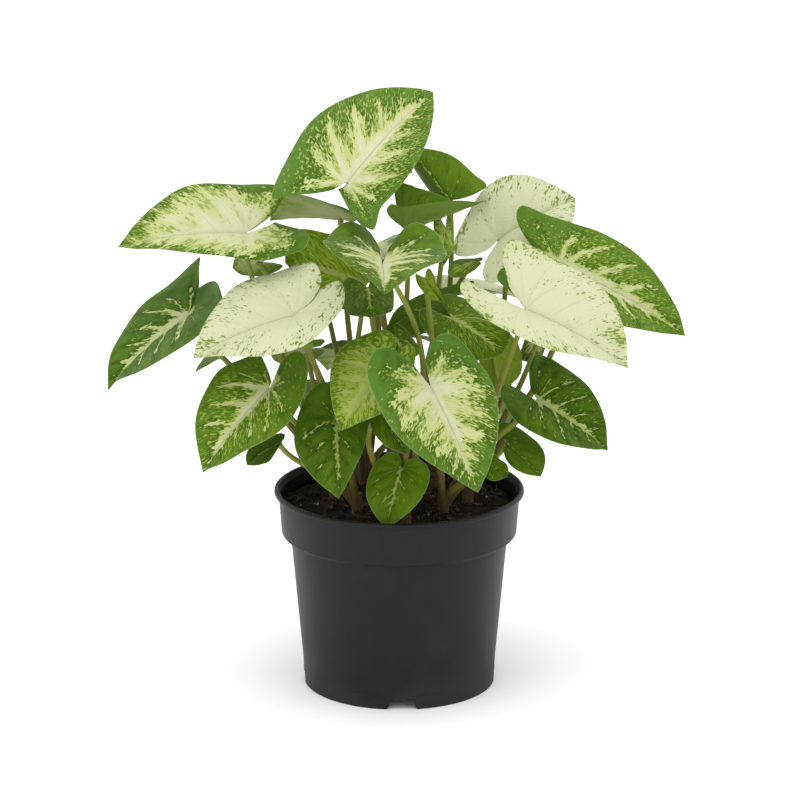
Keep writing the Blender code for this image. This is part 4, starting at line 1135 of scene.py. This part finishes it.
bows = clear_routes()
stalk_material = stalk_finish()
for shoot, (crown_x, crown_y) in SHOOTS.items():
    stalks = bmesh.new()
    along = stalks.verts.layers.float_vector.new("along")
    for leaf in LEAVES + BACK_LEAVES:
        if leaf.shoot == shoot:
            path = stalk_route(leaf, bows[leaf.name], STALK_RINGS)
            for vert, share in tube(stalks, path, stalk_radius, STALK_SIDES).items():
                vert[along] = (share, 0, 0)
    stem = [Vector((crown_x, crown_y, CROWN_FOOT + (CROWN_TOP - CROWN_FOOT) * step / CROWN_RINGS))
            for step in range(CROWN_RINGS + 1)]
    tube(stalks, stem, crown_radius, CROWN_SIDES)
    bmesh.ops.recalc_face_normals(stalks, faces=stalks.faces)
    finished(f"shoot_{shoot}_stalks", stalks, stalk_material, [f"shoot_{shoot}"], 60)


# Floor, light and camera
# A plain white studio table without an edge, in a bright white tent with one large soft lamp above the
# front left. The camera looks down on the plant from the front, a little above it.

AIM = Vector((0.0004, 0.0, 0.1403))
DISTANCE = 2.0
ELEVATION = 0.2776
LENS = 188.55
SENSOR = 36.0
TABLE_REACH = 6.0
TABLE_WHITE = 0.97
TENT_LIGHT = 1.3
LAMP_PLACE = Vector((-0.3, -0.6, 2.2))
LAMP_SIZE = 2.2
LAMP_POWER = 20.0

floor = bmesh.new()
bmesh.ops.create_grid(floor, x_segments=1, y_segments=1, size=TABLE_REACH)
table = Finish("white_table")
table_material = table.finish(Base_Color=(TABLE_WHITE, TABLE_WHITE, TABLE_WHITE, 1.0), Roughness=0.9)
ground = as_object("floor", floor, table_material)

world = bpy.data.worlds.new("tent")
world.use_nodes = True
background = world.node_tree.nodes["Background"]
background.inputs["Color"].default_value = (1.0, 1.0, 1.0, 1.0)
background.inputs["Strength"].default_value = TENT_LIGHT
bpy.context.scene.world = world


def aimed(name, data, place, direction):
    """Put a lamp or camera in its place, facing in a direction."""
    item = bpy.data.objects.new(name, data)
    item.location = place
    item.rotation_euler = direction.to_track_quat("-Z", "Y").to_euler()
    bpy.context.scene.collection.objects.link(item)
    return item


lamp = aimed("key_lamp", bpy.data.lights.new("key_lamp", "AREA"), LAMP_PLACE, AIM - LAMP_PLACE)
lamp.data.size = LAMP_SIZE
lamp.data.energy = LAMP_POWER

back_to_eye = Vector((0, -math.cos(ELEVATION), math.sin(ELEVATION)))
camera = aimed("camera", bpy.data.cameras.new("camera"), AIM + back_to_eye * DISTANCE, -back_to_eye)
camera.data.lens = LENS
camera.data.sensor_width = SENSOR
bpy.context.scene.camera = camera
bpy.context.scene.view_settings.view_transform = "Standard"
